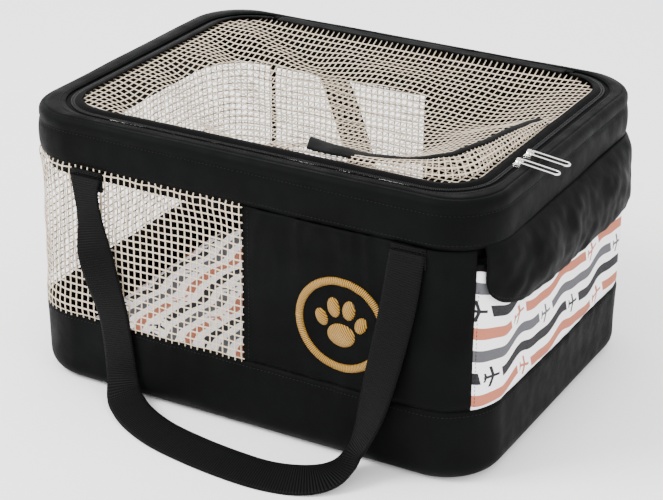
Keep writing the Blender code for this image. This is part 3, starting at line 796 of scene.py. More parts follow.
@dataclass(frozen=True)
class ShellSizes:
    """Sizes that the sewn shell's parts share."""

    length: float = 0.430
    width: float = 0.325
    rim: float = 0.243
    radius: float = 0.050
    lower_seam: float = 0.0645
    upper_seam: float = 0.203
    window_end: float = 0.004
    bottom_round: float = 0.014
    turn_under: float = 0.022
    rim_round: float = 0.006
    pocket_turn: float = math.radians(42.0)
    flap_turn: float = math.radians(34.0)

    @property
    def plan(self) -> Plan:
        """The outer face of the walls."""
        return Plan(self.length / 2, self.width / 2, self.radius)

    @property
    def band_flat(self) -> float:
        """Height of the top band from its seam to where it starts to roll over the wire."""
        return self.rim - self.rim_round - self.upper_seam

    @property
    def band_roll(self) -> float:
        """Length of cloth that rolls over the wire."""
        return self.rim_round * math.pi / 2

    @property
    def track(self) -> Plan:
        """The middle of the zip."""
        return Plan(0.1925, 0.144, 0.042, 0.0025, 0.002)

    def round_end(self, turn: float) -> tuple[float, float]:
        """Walk distances where the wall faces that turn either side of +X, the -Y one first."""
        plan = self.plan
        corner = plan.straights[0] + self.radius * (math.pi / 2 - turn)
        return corner, corner + 2 * self.radius * turn + plan.straights[1]

    def ring_ripple(self, distance: float, height: float, size: float, layer: float) -> float:
        """A soft random height from about -1 to 1 that meets itself all round the walls."""
        ring = self.plan.perimeter / math.tau
        angle = distance / ring
        return noise.noise(
            Vector((ring * math.cos(angle) / size, ring * math.sin(angle) / size, height / size + layer))
        )

    @staticmethod
    def crease(height: float) -> float:
        """Sharpens a soft random height's crests, as slack cloth folds narrowly and hangs between."""
        return 0.55 - 1.5 * abs(height) if abs(height) < 0.5 else -0.2

    def swell(self, distance: float, height: float) -> float:
        """How far the wall stands out from its plan, in metres.

        Args:
            distance: Place along the walk round the walls.
            height: Height above the floor.

        Returns:
            The soft bulge between seams, less the pull of the seams and their puckers.
        """
        plan = self.plan
        angle = math.tau * distance / plan.perimeter
        ring = 0.22
        place = Vector((ring * math.cos(angle), ring * math.sin(angle), height))
        slow = noise.noise(place / 0.085) * 2.6 * MM
        fold = noise.noise(Vector((place.x / 0.016, place.y / 0.016, height / 0.09 + 5.0)))
        below = self.upper_seam - height
        pucker = 0.0
        if 0.0 <= below:
            pucker = self.crease(fold) * 3.4 * MM * math.exp(-below / 0.055)
        low = noise.noise(Vector((place.x / 0.021, place.y / 0.021, height / 0.05 + 9.0)))
        pucker += self.crease(low) * 1.5 * MM * math.exp(-abs(height - self.lower_seam) / 0.022)
        pull = 0.0
        for seam in (self.lower_seam, self.upper_seam):
            pull += 1.3 * MM * math.exp(-((height - seam) ** 2) / (2 * (1.8 * MM) ** 2))
        return slow + pucker - pull

    def wall(self, distance: float, height: float, out: float = 0.0, soft: float = 1.0) -> Vector:
        """A point on the wall, moved out along its normal.

        Args:
            distance: Place along the walk round the walls.
            height: Height above the floor.
            out: How far outside the outer face.
            soft: Share of the cloth's swell that this layer follows.
        """
        point, normal = self.plan.at(distance)
        point = point + normal * (out + soft * self.swell(distance, height))
        return Vector((point.x, point.y, height))


@dataclass
class Sewn:
    """What every sewn group of pieces shares."""

    finishes: Finishes
    sizes: ShellSizes = field(default_factory=ShellSizes)

    def sew(
        self, name: str, line: Sequence[tuple[Vector, Vector]], body: Body = Body.SHELL, **rest: float
    ) -> None:
        """Sews the carrier's thread along points on cloth, each with the cloth's normal there."""
        stitches(name, line, self.finishes.stitching, body, **rest)


@dataclass
class Walls(Sewn):
    """The black cloth walls: lower band, front and back panels, the end wall, and their linings."""

    lining_inset: float = 4.3 * MM
    seam_gap: float = 0.3 * MM

    def build(self) -> None:
        """Builds every wall piece."""
        self.lower_band()
        self.bottom()
        self.long_panel("front_panel", 1.0)
        self.long_panel("back_panel", -1.0)
        self.end_panel()
        self.net_tape()
        self.linings()
        self.seams()

    def lower_band(self) -> None:
        """The band that rises from the floor, with its turned-under edge."""
        sizes = self.sizes
        flat_part = sizes.turn_under - sizes.bottom_round
        arc = sizes.bottom_round * math.pi / 2
        height = flat_part + arc + sizes.lower_seam - sizes.bottom_round

        def place(along: float, up: float) -> Vector:
            """Out over the floor, round the bottom edge and up the wall."""
            point, normal = sizes.plan.at(along)
            if up < flat_part:
                inset, z = sizes.turn_under - up, 0.0
            elif up < flat_part + arc:
                turn = (up - flat_part) / sizes.bottom_round
                inset = sizes.bottom_round * (1 - math.sin(turn))
                z = sizes.bottom_round * (1 - math.cos(turn))
            else:
                inset, z = 0.0, sizes.bottom_round + up - flat_part - arc
            out = sizes.swell(along, z) * smooth(z / 0.02) - inset
            point = point + normal * out
            return Vector((point.x, point.y, z))

        cloth(
            "Lower_band",
            (sizes.plan.perimeter, height),
            place,
            self.finishes.polyester,
            step=3.2 * MM,
            closed=True,
        )

    def bottom(self) -> None:
        """The bottom panel, inside the turned-under edge of the lower band."""
        plan = self.sizes.plan.inset(self.sizes.turn_under + 0.3 * MM)

        def place(along: float, up: float) -> Vector:
            """Flat on the floor, and rounded at the corners."""
            x, y = plan.hold(plan.half_x - along, up - plan.half_y)
            return Vector((x, y, 0.1 * MM + 0.3 * MM * (1 + ripple(x, y, 0.03, 2.0)) * 0.5))

        cloth(
            "Bottom_panel",
            (2 * plan.half_x, 2 * plan.half_y),
            place,
            self.finishes.polyester,
            step=6 * MM,
            thickness=0.6 * MM,
        )

    def long_panel(self, name: str, side: float) -> None:
        """One long wall's cloth, from its window to the pocket's edge.

        Args:
            name: The CAD node.
            side: 1 at the front and -1 at the back.
        """
        sizes = self.sizes
        far, beyond = sizes.round_end(sizes.pocket_turn)
        if side > 0:
            first, length = sizes.window_end, far - sizes.window_end
        else:
            first = beyond
            window = sizes.plan.perimeter / 2 - sizes.window_end
            length = window - first

        def place(along: float, up: float) -> Vector:
            """Straight up between the two bands."""
            return sizes.wall(first + along, sizes.lower_seam + self.seam_gap + up)

        cloth(
            name.capitalize(),
            (length, sizes.upper_seam - sizes.lower_seam - 2 * self.seam_gap),
            place,
            self.finishes.polyester,
            step=3 * MM,
        )

    def end_panel(self) -> None:
        """The inner wall behind the pocket, with its lining on the cabin side."""
        low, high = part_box("end_wall")

        def place(along: float, up: float) -> Vector:
            """A flat wall, a little slack."""
            y, z = low[1] + along, low[2] + up
            slack = smooth(along / 0.03) * smooth((high[1] - y) / 0.03)
            return Vector((high[0] + 0.8 * MM * slack * ripple(y, z, 0.06, 3.0), y, z))

        size = (high[1] - low[1], high[2] - low[2])
        cloth("End_wall", size, place, self.finishes.polyester, step=5 * MM)

        def place_lining(along: float, up: float) -> Vector:
            """The same wall, as seen from the cabin."""
            point = place(size[0] - along, up)
            return Vector((point.x - (high[0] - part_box("end_lining")[0][0]), point.y, point.z))

        cloth(
            "End_lining",
            size,
            place_lining,
            self.finishes.lining,
            replaces=["end_lining", "end_foam"],
            step=5 * MM,
            thickness=3.8 * MM,
        )

    def net_tape(self) -> None:
        """The narrow tape behind the net that joins it at the back left corner."""
        low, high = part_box("net_seam_tape")

        def place(along: float, up: float) -> Vector:
            """Straight up behind the net."""
            z = low[2] + up
            x = high[0] - along
            return Vector((x, high[1] + 0.4 * MM * ripple(x, z, 0.03, 4.0), z))

        cloth(
            "Net_seam_tape",
            (high[0] - low[0], high[2] - low[2]),
            place,
            self.finishes.polyester,
            step=2 * MM,
            thickness=0.9 * MM,
        )

    def linings(self) -> None:
        """The cabin-side linings, each folded over its foam to meet the outer cloth."""
        sizes = self.sizes
        inset = self.lining_inset
        bottom, crest = sizes.bottom_round, sizes.lower_seam - 0.5 * MM
        turn = inset - 1.2 * MM

        def place_low(along: float, up: float) -> Vector:
            """Down the cabin side from the fold over the lower foam's top edge."""
            if up > crest - bottom:
                left = up - (crest - bottom)
                height = crest + 0.4 * MM * math.sin(math.pi * left / turn)
                return sizes.wall(-along, height, left - inset)
            height = bottom + up
            return sizes.wall(-along, height, -inset, 0.7 + 0.3 * smooth(height / sizes.lower_seam))

        cloth(
            "Lower_lining",
            (sizes.plan.perimeter, crest - bottom + turn),
            place_low,
            self.finishes.lining,
            replaces=["lower_lining", "lower_foam"],
            step=3.5 * MM,
            thickness=0.8 * MM,
            closed=True,
        )
        far, beyond = sizes.round_end(sizes.pocket_turn)
        window = sizes.plan.perimeter / 2 - sizes.window_end
        for name, start, end, sign in (
            ("front", sizes.window_end, far, -1.0),
            ("back", window, beyond, 1.0),
        ):
            run = abs(end - start)
            height = sizes.upper_seam - sizes.lower_seam - 2 * self.seam_gap

            def place(along: float, up: float) -> Vector:
                """Along the cabin side from the pocket end to the fold at the window's edge."""
                from_window = along - turn if sign > 0 else run - along
                z = sizes.lower_seam + self.seam_gap + up
                distance = start - sign * max(from_window, 0.0)
                fold = min(max(-from_window, 0.0), turn)
                return sizes.wall(distance, z, fold - inset)

            cloth(
                f"{name.capitalize()}_lining",
                (run + turn, height),
                place,
                self.finishes.lining,
                replaces=[f"{name}_lining", f"{name}_foam"],
                step=4 * MM,
                thickness=0.8 * MM,
            )

    def seams(self) -> None:
        """Lines of stitches along the two long seams and down the windows' ends."""
        sizes = self.sizes
        plan = sizes.plan
        count = 240
        from_seam = 4.5 * MM
        for name, height in (
            ("lower", sizes.lower_seam - from_seam),
            ("upper", sizes.upper_seam + from_seam),
        ):
            line = []
            for number in range(count + 1):
                distance = plan.perimeter * number / count
                line.append((sizes.wall(distance, height, 0.15 * MM), plan.at(distance)[1]))
            self.sew(f"Stitches_{name}_seam", line)
        for name, distance in (
            ("front", sizes.window_end + 6.0 * MM),
            ("back", plan.perimeter / 2 - sizes.window_end - 6.0 * MM),
        ):
            line = []
            for number in range(29):
                height = sizes.lower_seam + 3 * MM + number * 4.7 * MM
                line.append((sizes.wall(distance, height, 0.15 * MM), plan.at(distance)[1]))
            self.sew(f"Stitches_{name}_window", line)


@dataclass
class SideNet(Sewn):
    """The net windows: one piece of coated net from the back, round the left end, to the front."""

    pitch: float = 6.1 * MM
    row: float = 6.9 * MM
    thread: float = 1.2 * MM
    overlap: float = 5.2 * MM

    def build(self) -> None:
        """Builds the net over the edges of the bands and panels."""
        sizes = self.sizes
        plan = sizes.plan
        first = plan.perimeter / 2 - sizes.window_end - self.overlap
        last = plan.perimeter + sizes.window_end + self.overlap
        columns = round((last - first) / self.pitch)
        low = sizes.lower_seam - self.overlap
        height = sizes.upper_seam + self.overlap - low
        size = (columns * self.pitch, round(height / self.row) * self.pitch)
        stretch = (last - first) / size[0], height / size[1]

        def place(along: float, up: float) -> Vector:
            """On the bands at its edges, and a little slack between them."""
            distance, z = first + along * stretch[0], low + up * stretch[1]
            edge = min(z - sizes.lower_seam, sizes.upper_seam - z, distance - first - self.overlap)
            edge = min(edge, last - self.overlap - distance)
            slack = smooth(edge / 0.03)
            slow = ripple(distance, z, 0.07, 11.0) * 3.0 * MM + ripple(distance, z, 0.025, 12.0) * 1.0 * MM
            out = 0.8 * MM + slack * (slow - 2.4 * MM)
            point = sizes.wall(distance, z, out, 1.0 - slack)
            shift = slack * ripple(distance, z, 0.05, 13.0) * 1.6 * MM
            return point + Vector((0.0, 0.0, shift))

        shape = net_grid(size[0], size[1], self.pitch, self.thread, place)
        made = net_piece("Side_net", shape, self.finishes.net, Body.SHELL, replaces=["side_net"])


@dataclass
class Rim(Sewn):
    """The top band, the wired rim, the flat strip beside the zip and the facing inside."""

    strip_edge: float = 6.0 * MM
    facing_inset: float = 6.9 * MM
    strip_width: float = 9.8 * MM
    fullest: float = 1.5 * MM
    casing_at: float = 0.82

    def build(self) -> None:
        """Builds the rim's pieces."""
        self.top_band()
        self.strip()
        self.facing()
        self.seams()

    def roll(self, along: float, up: float) -> Vector:
        """A point on the top band, by walk distance and by length of cloth above the upper seam."""
        sizes = self.sizes
        straight, arc = sizes.band_flat, sizes.band_roll
        point, normal = sizes.plan.at(along)
        if up < straight:
            inset, z = 0.0, sizes.upper_seam + up
        elif up < straight + arc:
            turn = (up - straight) / sizes.rim_round
            inset = sizes.rim_round * (1 - math.cos(turn))
            z = sizes.rim - sizes.rim_round * (1 - math.sin(turn))
        else:
            inset, z = sizes.rim_round + up - straight - arc, sizes.rim
        share = smooth(up / (straight + arc))
        swell = sizes.swell(along, min(z, sizes.rim)) * (1 - 0.7 * share)
        casing = straight * self.casing_at
        puff = 1.6 * MM * math.sin(math.pi * min(up / casing, 1.0))
        groove = 1.1 * MM * math.exp(-((up - casing) ** 2) / (2 * (1.0 * MM) ** 2))
        gather = sizes.ring_ripple(along, up * 0.013 / 0.03, 0.013, 0.0)
        swell += puff - groove + gather * 0.7 * MM * math.sin(math.pi * min(up / straight, 1.0))
        spare = self.fullest - swell
        swell = self.fullest - (spare + math.hypot(spare, 0.8 * MM)) / 2
        point = point + normal * (swell - inset)
        lift = share * share * (0.5 * MM * sizes.ring_ripple(along, up, 0.05, 21.0) + 0.3 * MM)
        return Vector((point.x, point.y, z + lift))

    def top_band(self) -> None:
        """The band above the windows, rolled over the rim wire."""
        sizes = self.sizes
        height = sizes.band_flat + sizes.band_roll
        start = 0.3 * MM

        def place(along: float, up: float) -> Vector:
            """The roll, from just above the seam."""
            return self.roll(along, start + up)

        cloth(
            "Top_band",
            (sizes.plan.perimeter, height - start),
            place,
            self.finishes.polyester,
            step=2.6 * MM,
            closed=True,
        )

    def strip_point(self, along: float, share: float) -> Vector:
        """A point on the flat strip: share 0 at the roll and 1 at the zip."""
        sizes = self.sizes
        leg, part = sizes.plan.locate(along)
        outer, _ = sizes.plan.inset(sizes.rim_round - 0.2 * MM).place(leg, part)
        inner, _ = sizes.track.inset(-self.strip_edge).place(leg, part)
        point = outer.lerp(inner, share)
        start = self.roll(along, sizes.band_flat + sizes.band_roll).z
        uneven = 0.5 * MM * sizes.ring_ripple(along, share * 0.01, 0.022, 22.0)
        bow = 0.8 * MM * math.sin(math.pi * share) + uneven
        z = start * (1 - share) + (sizes.rim + 0.1 * MM) * share + bow * smooth(4 * share * (1 - share))
        return Vector((point.x, point.y, z))

    def strip(self) -> None:
        """The strip between the roll and the zip, bowed a little between them."""
        sizes, width = self.sizes, self.strip_width
        length = sizes.plan.inset(sizes.rim_round + width / 2).perimeter
        scale = sizes.plan.perimeter / length

        def place(along: float, up: float) -> Vector:
            """The strip's own length, laid all round, from the roll inwards to the zip."""
            return self.strip_point(along * scale, up / width)

        cloth(
            "Rim_strip",
            (length, width),
            place,
            self.finishes.polyester,
            step=2.4 * MM,
            closed=True,
        )

    def facing(self) -> None:
        """The facing inside the rim."""
        sizes = self.sizes
        plan = sizes.plan.inset(self.facing_inset)
        low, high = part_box("rim_facing")[0][2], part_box("rim_facing")[1][2]

        def place(along: float, up: float) -> Vector:
            """Up the cabin side, slightly slack."""
            point, normal = plan.at(-along)
            z = low + up
            slack = math.sin(math.pi * up / (high - low)) * 0.7 * MM
            point = point - normal * (0.3 * MM + slack * (0.5 + sizes.ring_ripple(along, z, 0.03, 23.0)))
            return Vector((point.x, point.y, z))

        cloth(
            "Rim_facing",
            (plan.perimeter, high - low),
            place,
            self.finishes.lining,
            step=5 * MM,
            thickness=0.7 * MM,
            closed=True,
        )

    def seams(self) -> None:
        """The stitches that close the wire's casing, and those beside the zip."""
        sizes = self.sizes
        count = 260
        casing, edge = [], []
        for number in range(count + 1):
            along = sizes.plan.perimeter * number / count
            normal = sizes.plan.at(along)[1]
            seam = self.roll(along, sizes.band_flat * self.casing_at)
            casing.append((seam + normal * 0.3 * MM, normal))
            edge.append((self.strip_point(along, 0.72) + UP * 0.15 * MM, UP))
        self.sew("Stitches_wire_casing", casing)
        self.sew("Stitches_zip_edge", edge, pitch=3.0 * MM)


@dataclass
class Zip(Sewn):
    """The coil zip: two tapes, two rows of teeth, end stops, sliders and wire pulls."""

    tape_height: float = 0.2416
    coil_height: float = 0.2426
    slider_top: float = 0.2449
    slider_length: float = 10.8 * MM
    pull_start: tuple[float, float] = (0.1982, 0.2463)
    tooth_pitch: float = 1.6 * MM
    slider_ys: tuple[tuple[str, float, Body, Body], ...] = (
        ("front", -0.066, Body.SLIDER_FRONT, Body.PULL_FRONT),
        ("rear", -0.046, Body.SLIDER_REAR, Body.PULL_REAR),
    )

    @property
    def run(self) -> tuple[float, float]:
        """First and last walk distance of the zip on its track, from the back left corner on."""
        track = self.sizes.track
        first = sum(track.straights[:3]) + 2 * track.arc
        return first, track.perimeter + track.straights[0] + track.straights[1] + 2 * track.arc

    def build(self) -> None:
        """Builds the zip."""
        self.tape("Zip_tape_outer", -0.3 * MM, -7.8 * MM, Body.SHELL)
        self.tape("Zip_tape_inner", 0.3 * MM, 8.4 * MM, Body.LID)
        self.teeth("Zip_coil_outer", -1.0 * MM, Body.SHELL)
        self.teeth("Zip_coil_inner", 1.0 * MM, Body.LID)
        for side in ("left", "right"):
            self.stop(side)
        for name, y, slider, pull in self.slider_ys:
            self.slider(name, y, slider)
            self.pull(name, y, pull)

    def tape(self, name: str, near: float, far: float, body: Body) -> None:
        """One half's tape.

        Args:
            name: The piece's name.
            near: Inset of the edge at the teeth.
            far: Inset of the other edge.
            body: What it rides on.
        """
        track = self.sizes.track
        first, last = self.run
        middle = track.inset((near + far) / 2)
        width = abs(far - near)
        length = last - first - 4 * math.pi / 2 * (track.radius - middle.radius)
        low = min(near, far)

        def place(along: float, up: float) -> Vector:
            """Flat, with a soft wave."""
            distance = first + (last - first) * along / length
            point, normal = track.at(distance)
            inset = low + up
            point = point - normal * inset
            wave = 0.25 * MM * ripple(distance, up, 0.02, 31.0)
            over_net = 3.4 * MM * smooth((inset - 1.7 * MM) / (1.2 * MM))
            return Vector((point.x, point.y, self.tape_height + wave + over_net))

        cloth(
            name,
            (length, width),
            place,
            self.finishes.zip_tape,
            body,
            step=2.2 * MM,
            thickness=0.6 * MM,
        )

    def teeth(self, name: str, inset: float, body: Body) -> None:
        """One half's row of teeth.

        Args:
            name: The piece's name.
            inset: How far the row's middle is inside the track.
            body: What it rides on.
        """
        track = self.sizes.track
        first, last = self.run
        shape = bmesh.new()
        half_step = 0.25 if inset > 0 else 0.75
        for number in range(int((last - first) / self.tooth_pitch) - 1):
            point, normal = track.at(first + (number + half_step) * self.tooth_pitch)
            along = Vector((-normal.y, normal.x, 0.0))
            turn = Matrix((normal, along, UP)).transposed().to_4x4()
            size = Matrix.Diagonal((1.05 * MM, 0.52 * MM, 0.6 * MM, 1.0))
            where = Vector((point.x, point.y, self.coil_height)) - normal * inset
            matrix = Matrix.Translation(where) @ turn @ size
            bmesh.ops.create_icosphere(shape, subdivisions=1, radius=1.0, matrix=matrix)
        finished(name, shape, self.finishes.teeth, body, [name.lower()])

    def stop(self, side: str) -> None:
        """The sewn bar at one end of the zip."""
        low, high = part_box(f"zip_stop_{side}")
        length, width = high[0] - low[0], high[1] - low[1]

        def place(along: float, up: float) -> Vector:
            """A pad of tape over the end of the teeth."""
            crown = math.sin(math.pi * along / length) * math.sin(math.pi * up / width)
            return Vector((low[0] + along, low[1] + up, high[2] - 0.2 * MM + 0.5 * MM * crown))

        cloth(
            f"Zip_stop_{side}",
            (length, width),
            place,
            self.finishes.zip_tape,
            step=0.8 * MM,
            thickness=1.2 * MM,
        )

    def slider(self, name: str, y: float, body: Body) -> None:
        """A slider: a waisted top plate, its wings and the bridge that holds the pull.

        Args:
            name: Which slider.
            y: Its middle.
            body: What it rides on.
        """
        node = f"zip_slider_{name}"
        low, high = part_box(node)
        shape = bmesh.new()
        middle_x, top = (low[0] + high[0]) / 2, self.slider_top

        def block(z: float, size: tuple[float, float, float]) -> list[bmesh.types.BMVert]:
            """Adds a block over the slider's middle."""
            matrix = Matrix.Translation((middle_x, y, z)) @ Matrix.Diagonal((*size, 1.0))
            return bmesh.ops.create_cube(shape, size=1.0, matrix=matrix)["verts"]

        for height, depth, waist in ((top - 0.7 * MM, 1.2 * MM, 0.9), (self.coil_height, 1.6 * MM, 0.72)):
            for vert in block(height, (high[0] - low[0], self.slider_length, depth)):
                if vert.co.y > y:
                    vert.co.x = middle_x + (vert.co.x - middle_x) * waist
        span = 7.0 * MM
        plates = len(shape.verts)
        strip = block(top - 0.1 * MM, (2.6 * MM, span, 0.8 * MM))
        lengthways = [
            edge
            for edge in {edge for vert in strip for edge in vert.link_edges}
            if abs(edge.verts[0].co.y - edge.verts[1].co.y) > span / 2
        ]
        bmesh.ops.subdivide_edges(shape, edges=lengthways, cuts=13, use_grid_fill=True)
        for vert in list(shape.verts)[plates:]:
            share = clamp((vert.co.y - y) / (span / 2), -1.0, 1.0)
            vert.co.z += 3.2 * MM * math.sqrt(1.0 - share**2)
        edges = [edge for edge in shape.edges if edge.is_manifold and edge.calc_face_angle(0.0) > 0.6]
        bmesh.ops.bevel(
            shape,
            geom=edges,
            offset=0.3 * MM,
            segments=2,
            profile=0.5,
            affect="EDGES",
            material=-1,
            clamp_overlap=True,
        )
        finished(f"Zip_slider_{name}", shape, self.finishes.nickel, body, [node], sharp=50.0)

    def pull(self, name: str, y: float, body: Body) -> None:
        """A pull: one closed oval of plated wire that droops over the rim.

        Args:
            name: Which pull.
            y: Its middle.
            body: What it rides on.
        """
        length, width, wire = 36 * MM, 8.5 * MM, 0.8 * MM
        tilt = math.radians(7.0)
        out = Vector((math.cos(tilt), 0.0, -math.sin(tilt)))
        side = Vector((0.0, 1.0, 0.0))
        up = out.cross(side)
        up = up if up.z > 0 else -up
        start = Vector((self.pull_start[0], y, self.pull_start[1]))
        radius = width / 2 - wire
        straight = length - 2 * wire - 2 * radius
        half = straight + math.pi * radius
        total = 2 * half

        def centre(distance: float) -> tuple[Vector, Vector]:
            """The wire's middle and the direction away from the oval's middle."""
            left = distance % total
            sign = 1.0
            if left >= half:
                left, sign = left - half, -1.0
            near = radius if sign > 0 else straight + radius
            if left < straight:
                across = -side * sign
                return start + out * (near + sign * left) + across * radius, across
            turn = (left - straight) / radius
            away = out * sign * math.sin(turn) - side * sign * math.cos(turn)
            far = straight + radius if sign > 0 else radius
            return start + out * far + away * radius, away

        def place(along: float, up_flat: float) -> Vector:
            """Round the wire and along it."""
            point, away = centre(along)
            turn = up_flat / wire
            return point + (away * math.cos(turn) + up * math.sin(turn)) * wire

        shape = grid(total, math.tau * wire, 0.42 * MM, place, closed=True)
        bmesh.ops.recalc_face_normals(shape, faces=shape.faces)
        finished(f"Zip_pull_{name}", shape, self.finishes.nickel, body, [f"zip_pull_{name}"])


# --- The lid -----------------------------------------------------------------------------------------


@dataclass
class Lid(Sewn):
    """The net lid: its slack net, the folded hem at the front right, the binding strap and the hinge."""

    pitch: float = 5.5 * MM
    row: float = 7.2 * MM
    thread: float = 0.95 * MM
    sag: float = 23.0 * MM
    edge: float = 6.0 * MM
    base: float = 0.2428
    route: tuple[tuple[float, float, float], ...] = (
        (0.037, -0.112, 21.0),
        (0.066, -0.116, 18.0),
        (0.096, -0.113, 13.0),
        (0.124, -0.100, 9.0),
        (0.145, -0.078, 7.0),
        (0.156, -0.048, 7.0),
        (0.163, -0.018, 8.0),
        (0.171, 0.008, 11.0),
        (0.180, 0.024, 14.0),
    )

    def build(self) -> None:
        """Builds the lid's pieces."""
        self.net()
        self.fold()
        self.strap()
        self.hinge()

    def height(self, x: float, y: float) -> float:
        """Height of the net: held at its edge and slack between."""
        track = self.sizes.track
        inside = track.inset(self.edge + 3 * MM).inside(x - track.middle_x, y - track.middle_y)
        slack = smooth(inside / 0.05)
        rightwards = smooth((x + 0.02) / 0.06)
        front = -0.136 + 0.028 * rightwards
        right = 0.189 - 0.032 * smooth((0.05 - y) / 0.06)
        from_back = clamp((0.140 - y) / (0.140 - front), 0.0, 1.0)
        lowest = 0.70
        if from_back < lowest:
            fall = math.sin(math.pi / 2 * (from_back / lowest) ** 0.7)
        else:
            left_over = math.cos(math.pi / 2 * (from_back - lowest) / (1.0 - lowest))
            fall = max(left_over, 0.0) ** (0.5 + 0.5 * rightwards)
        sides = smooth((x + 0.184) / 0.11) ** 0.7 * smooth((right - x) / 0.085) ** 0.7
        left = smooth((0.02 - x) / 0.12)
        wave = 4.8 * MM * math.sin((x * 0.8 + y * 1.25) / 0.0155 + 0.6) * left
        hump = 5.0 * MM * math.exp(-(((x - 0.02) / 0.05) ** 2) - (((y - 0.085) / 0.04) ** 2))
        swell = 3.2 * MM * ripple(x, y, 0.055, 41.0) + 1.2 * MM * ripple(x, y, 0.022, 42.0)
        loose = slack * (wave + hump + swell)
        return self.base - self.sag * fall * sides + loose + 0.3 * MM * ripple(x, y, 0.012, 43.0)

    def net(self) -> None:
        """The lid's net, cut to the rounded shape inside the zip."""
        track = self.sizes.track
        plan = track.inset(self.edge)
        columns, rows = round(2 * plan.half_x / self.pitch), round(2 * plan.half_y / self.row)
        size = (columns * self.pitch, rows * self.pitch)
        stretch = 2 * plan.half_x / size[0], 2 * plan.half_y / size[1]

        def keep(along: float, up: float) -> bool:
            """Whether that square is inside the rounded cut."""
            x, y = (along - size[0] / 2) * stretch[0], (up - size[1] / 2) * stretch[1]
            return plan.inside(x, y) > 0.1 * self.pitch

        def place(along: float, up: float) -> Vector:
            """Drawn out of square by its waves, least near the edge."""
            x, y = (along - size[0] / 2) * stretch[0], (up - size[1] / 2) * stretch[1]
            inside = plan.inside(x, y)
            loose = smooth(inside / 0.05)
            x += track.middle_x + loose * (2.2 * MM * ripple(x, y, 0.06, 44.0))
            y += track.middle_y + loose * (2.6 * MM * ripple(x, y, 0.06, 45.0))
            y += -2.0 * MM * math.sin(math.pi * (x + 0.19) / 0.38) * smooth(-y / 0.1)
            return Vector((x, y, self.height(x, y)))

        shape = net_grid(size[0], size[1], self.pitch, self.thread, place, keep)
        made = net_piece("Lid_net", shape, self.finishes.net, Body.LID, replaces=["lid_net"])

    def knots(self) -> list[Vector]:
        """The strap's middle line, with its width as the third value."""
        return [Vector((x, y, width * MM)) for x, y, width in self.route]

    def fold(self) -> None:
        """The net's folded hem between the strap and the zip, doubled and so denser."""
        track = self.sizes.track
        outer = track.inset(self.edge + 2.0 * MM)
        length, width = 0.2035, 0.0220
        knots = self.knots()

        def place(along: float, up: float) -> Vector:
            """From the strap outwards to the edge of the net."""
            share = along / length
            middle = spline(knots, 1.6 + share * 6.2)
            inner = Vector((middle.x, middle.y, 0.0))
            first = outer.straights[0] - 0.075
            last = outer.straights[0] + outer.arc + 0.125
            point, _ = outer.at(first + (last - first) * share)
            mix = inner.lerp(Vector((point.x, point.y, 0.0)), up / width)
            crown = 3.2 * MM * math.sin(math.pi * up / width)
            lift = 1.6 * MM + crown + 0.5 * MM * ripple(along, up, 0.01, 46.0)
            return Vector((mix.x, mix.y, self.height(mix.x, mix.y) + lift))

        shape = net_grid(length, width, 4.5 * MM, self.thread, place)
        made = net_piece("Lid_net_fold", shape, self.finishes.net, Body.LID)

    def strap(self) -> None:
        """The black binding strap that curves over the net, squared at its free end."""
        knots = self.knots()
        length, width = 0.2195, 0.012

        def place(along: float, up: float) -> Vector:
            """Along the route, as wide as it is seen there."""
            position = (len(knots) - 1) * along / length
            here = spline(knots, position)
            ahead = spline(knots, min(position + 0.05, len(knots) - 1.0))
            behind = spline(knots, max(position - 0.05, 0.0))
            run = Vector((ahead.x - behind.x, ahead.y - behind.y, 0.0)).normalized()
            side = UP.cross(run)
            side -= run * 0.6 * (1.0 - smooth(along / 0.015))
            share = up / width - 0.5
            point = Vector((here.x, here.y, 0.0)) + side * share * here.z
            crown = 0.7 * MM * math.cos(math.pi * share)
            lift = 2.6 * MM + crown + 0.5 * MM * ripple(along, up, 0.03, 47.0)
            return Vector((point.x, point.y, self.height(here.x, here.y) + lift))

        cloth(
            "Lid_strap",
            (length, width),
            place,
            self.finishes.polyester,
            Body.LID,
            step=2.0 * MM,
        )

    def hinge(self) -> None:
        """The tape that hinges the lid along its back edge."""
        low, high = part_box("lid_hinge_tape")

        def place(along: float, up: float) -> Vector:
            """Flat along the back edge."""
            x, y = low[0] + along, low[1] + up
            return Vector((x, y, high[2] + 0.4 * MM * ripple(x, y, 0.02, 48.0) + 0.2 * MM))

        cloth(
            "Lid_hinge_tape",
            (high[0] - low[0], high[1] - low[1]),
            place,
            self.finishes.polyester,
            Body.LID,
            step=2.4 * MM,
            thickness=1.2 * MM,
        )


# --- The pocket end ----------------------------------------------------------------------------------


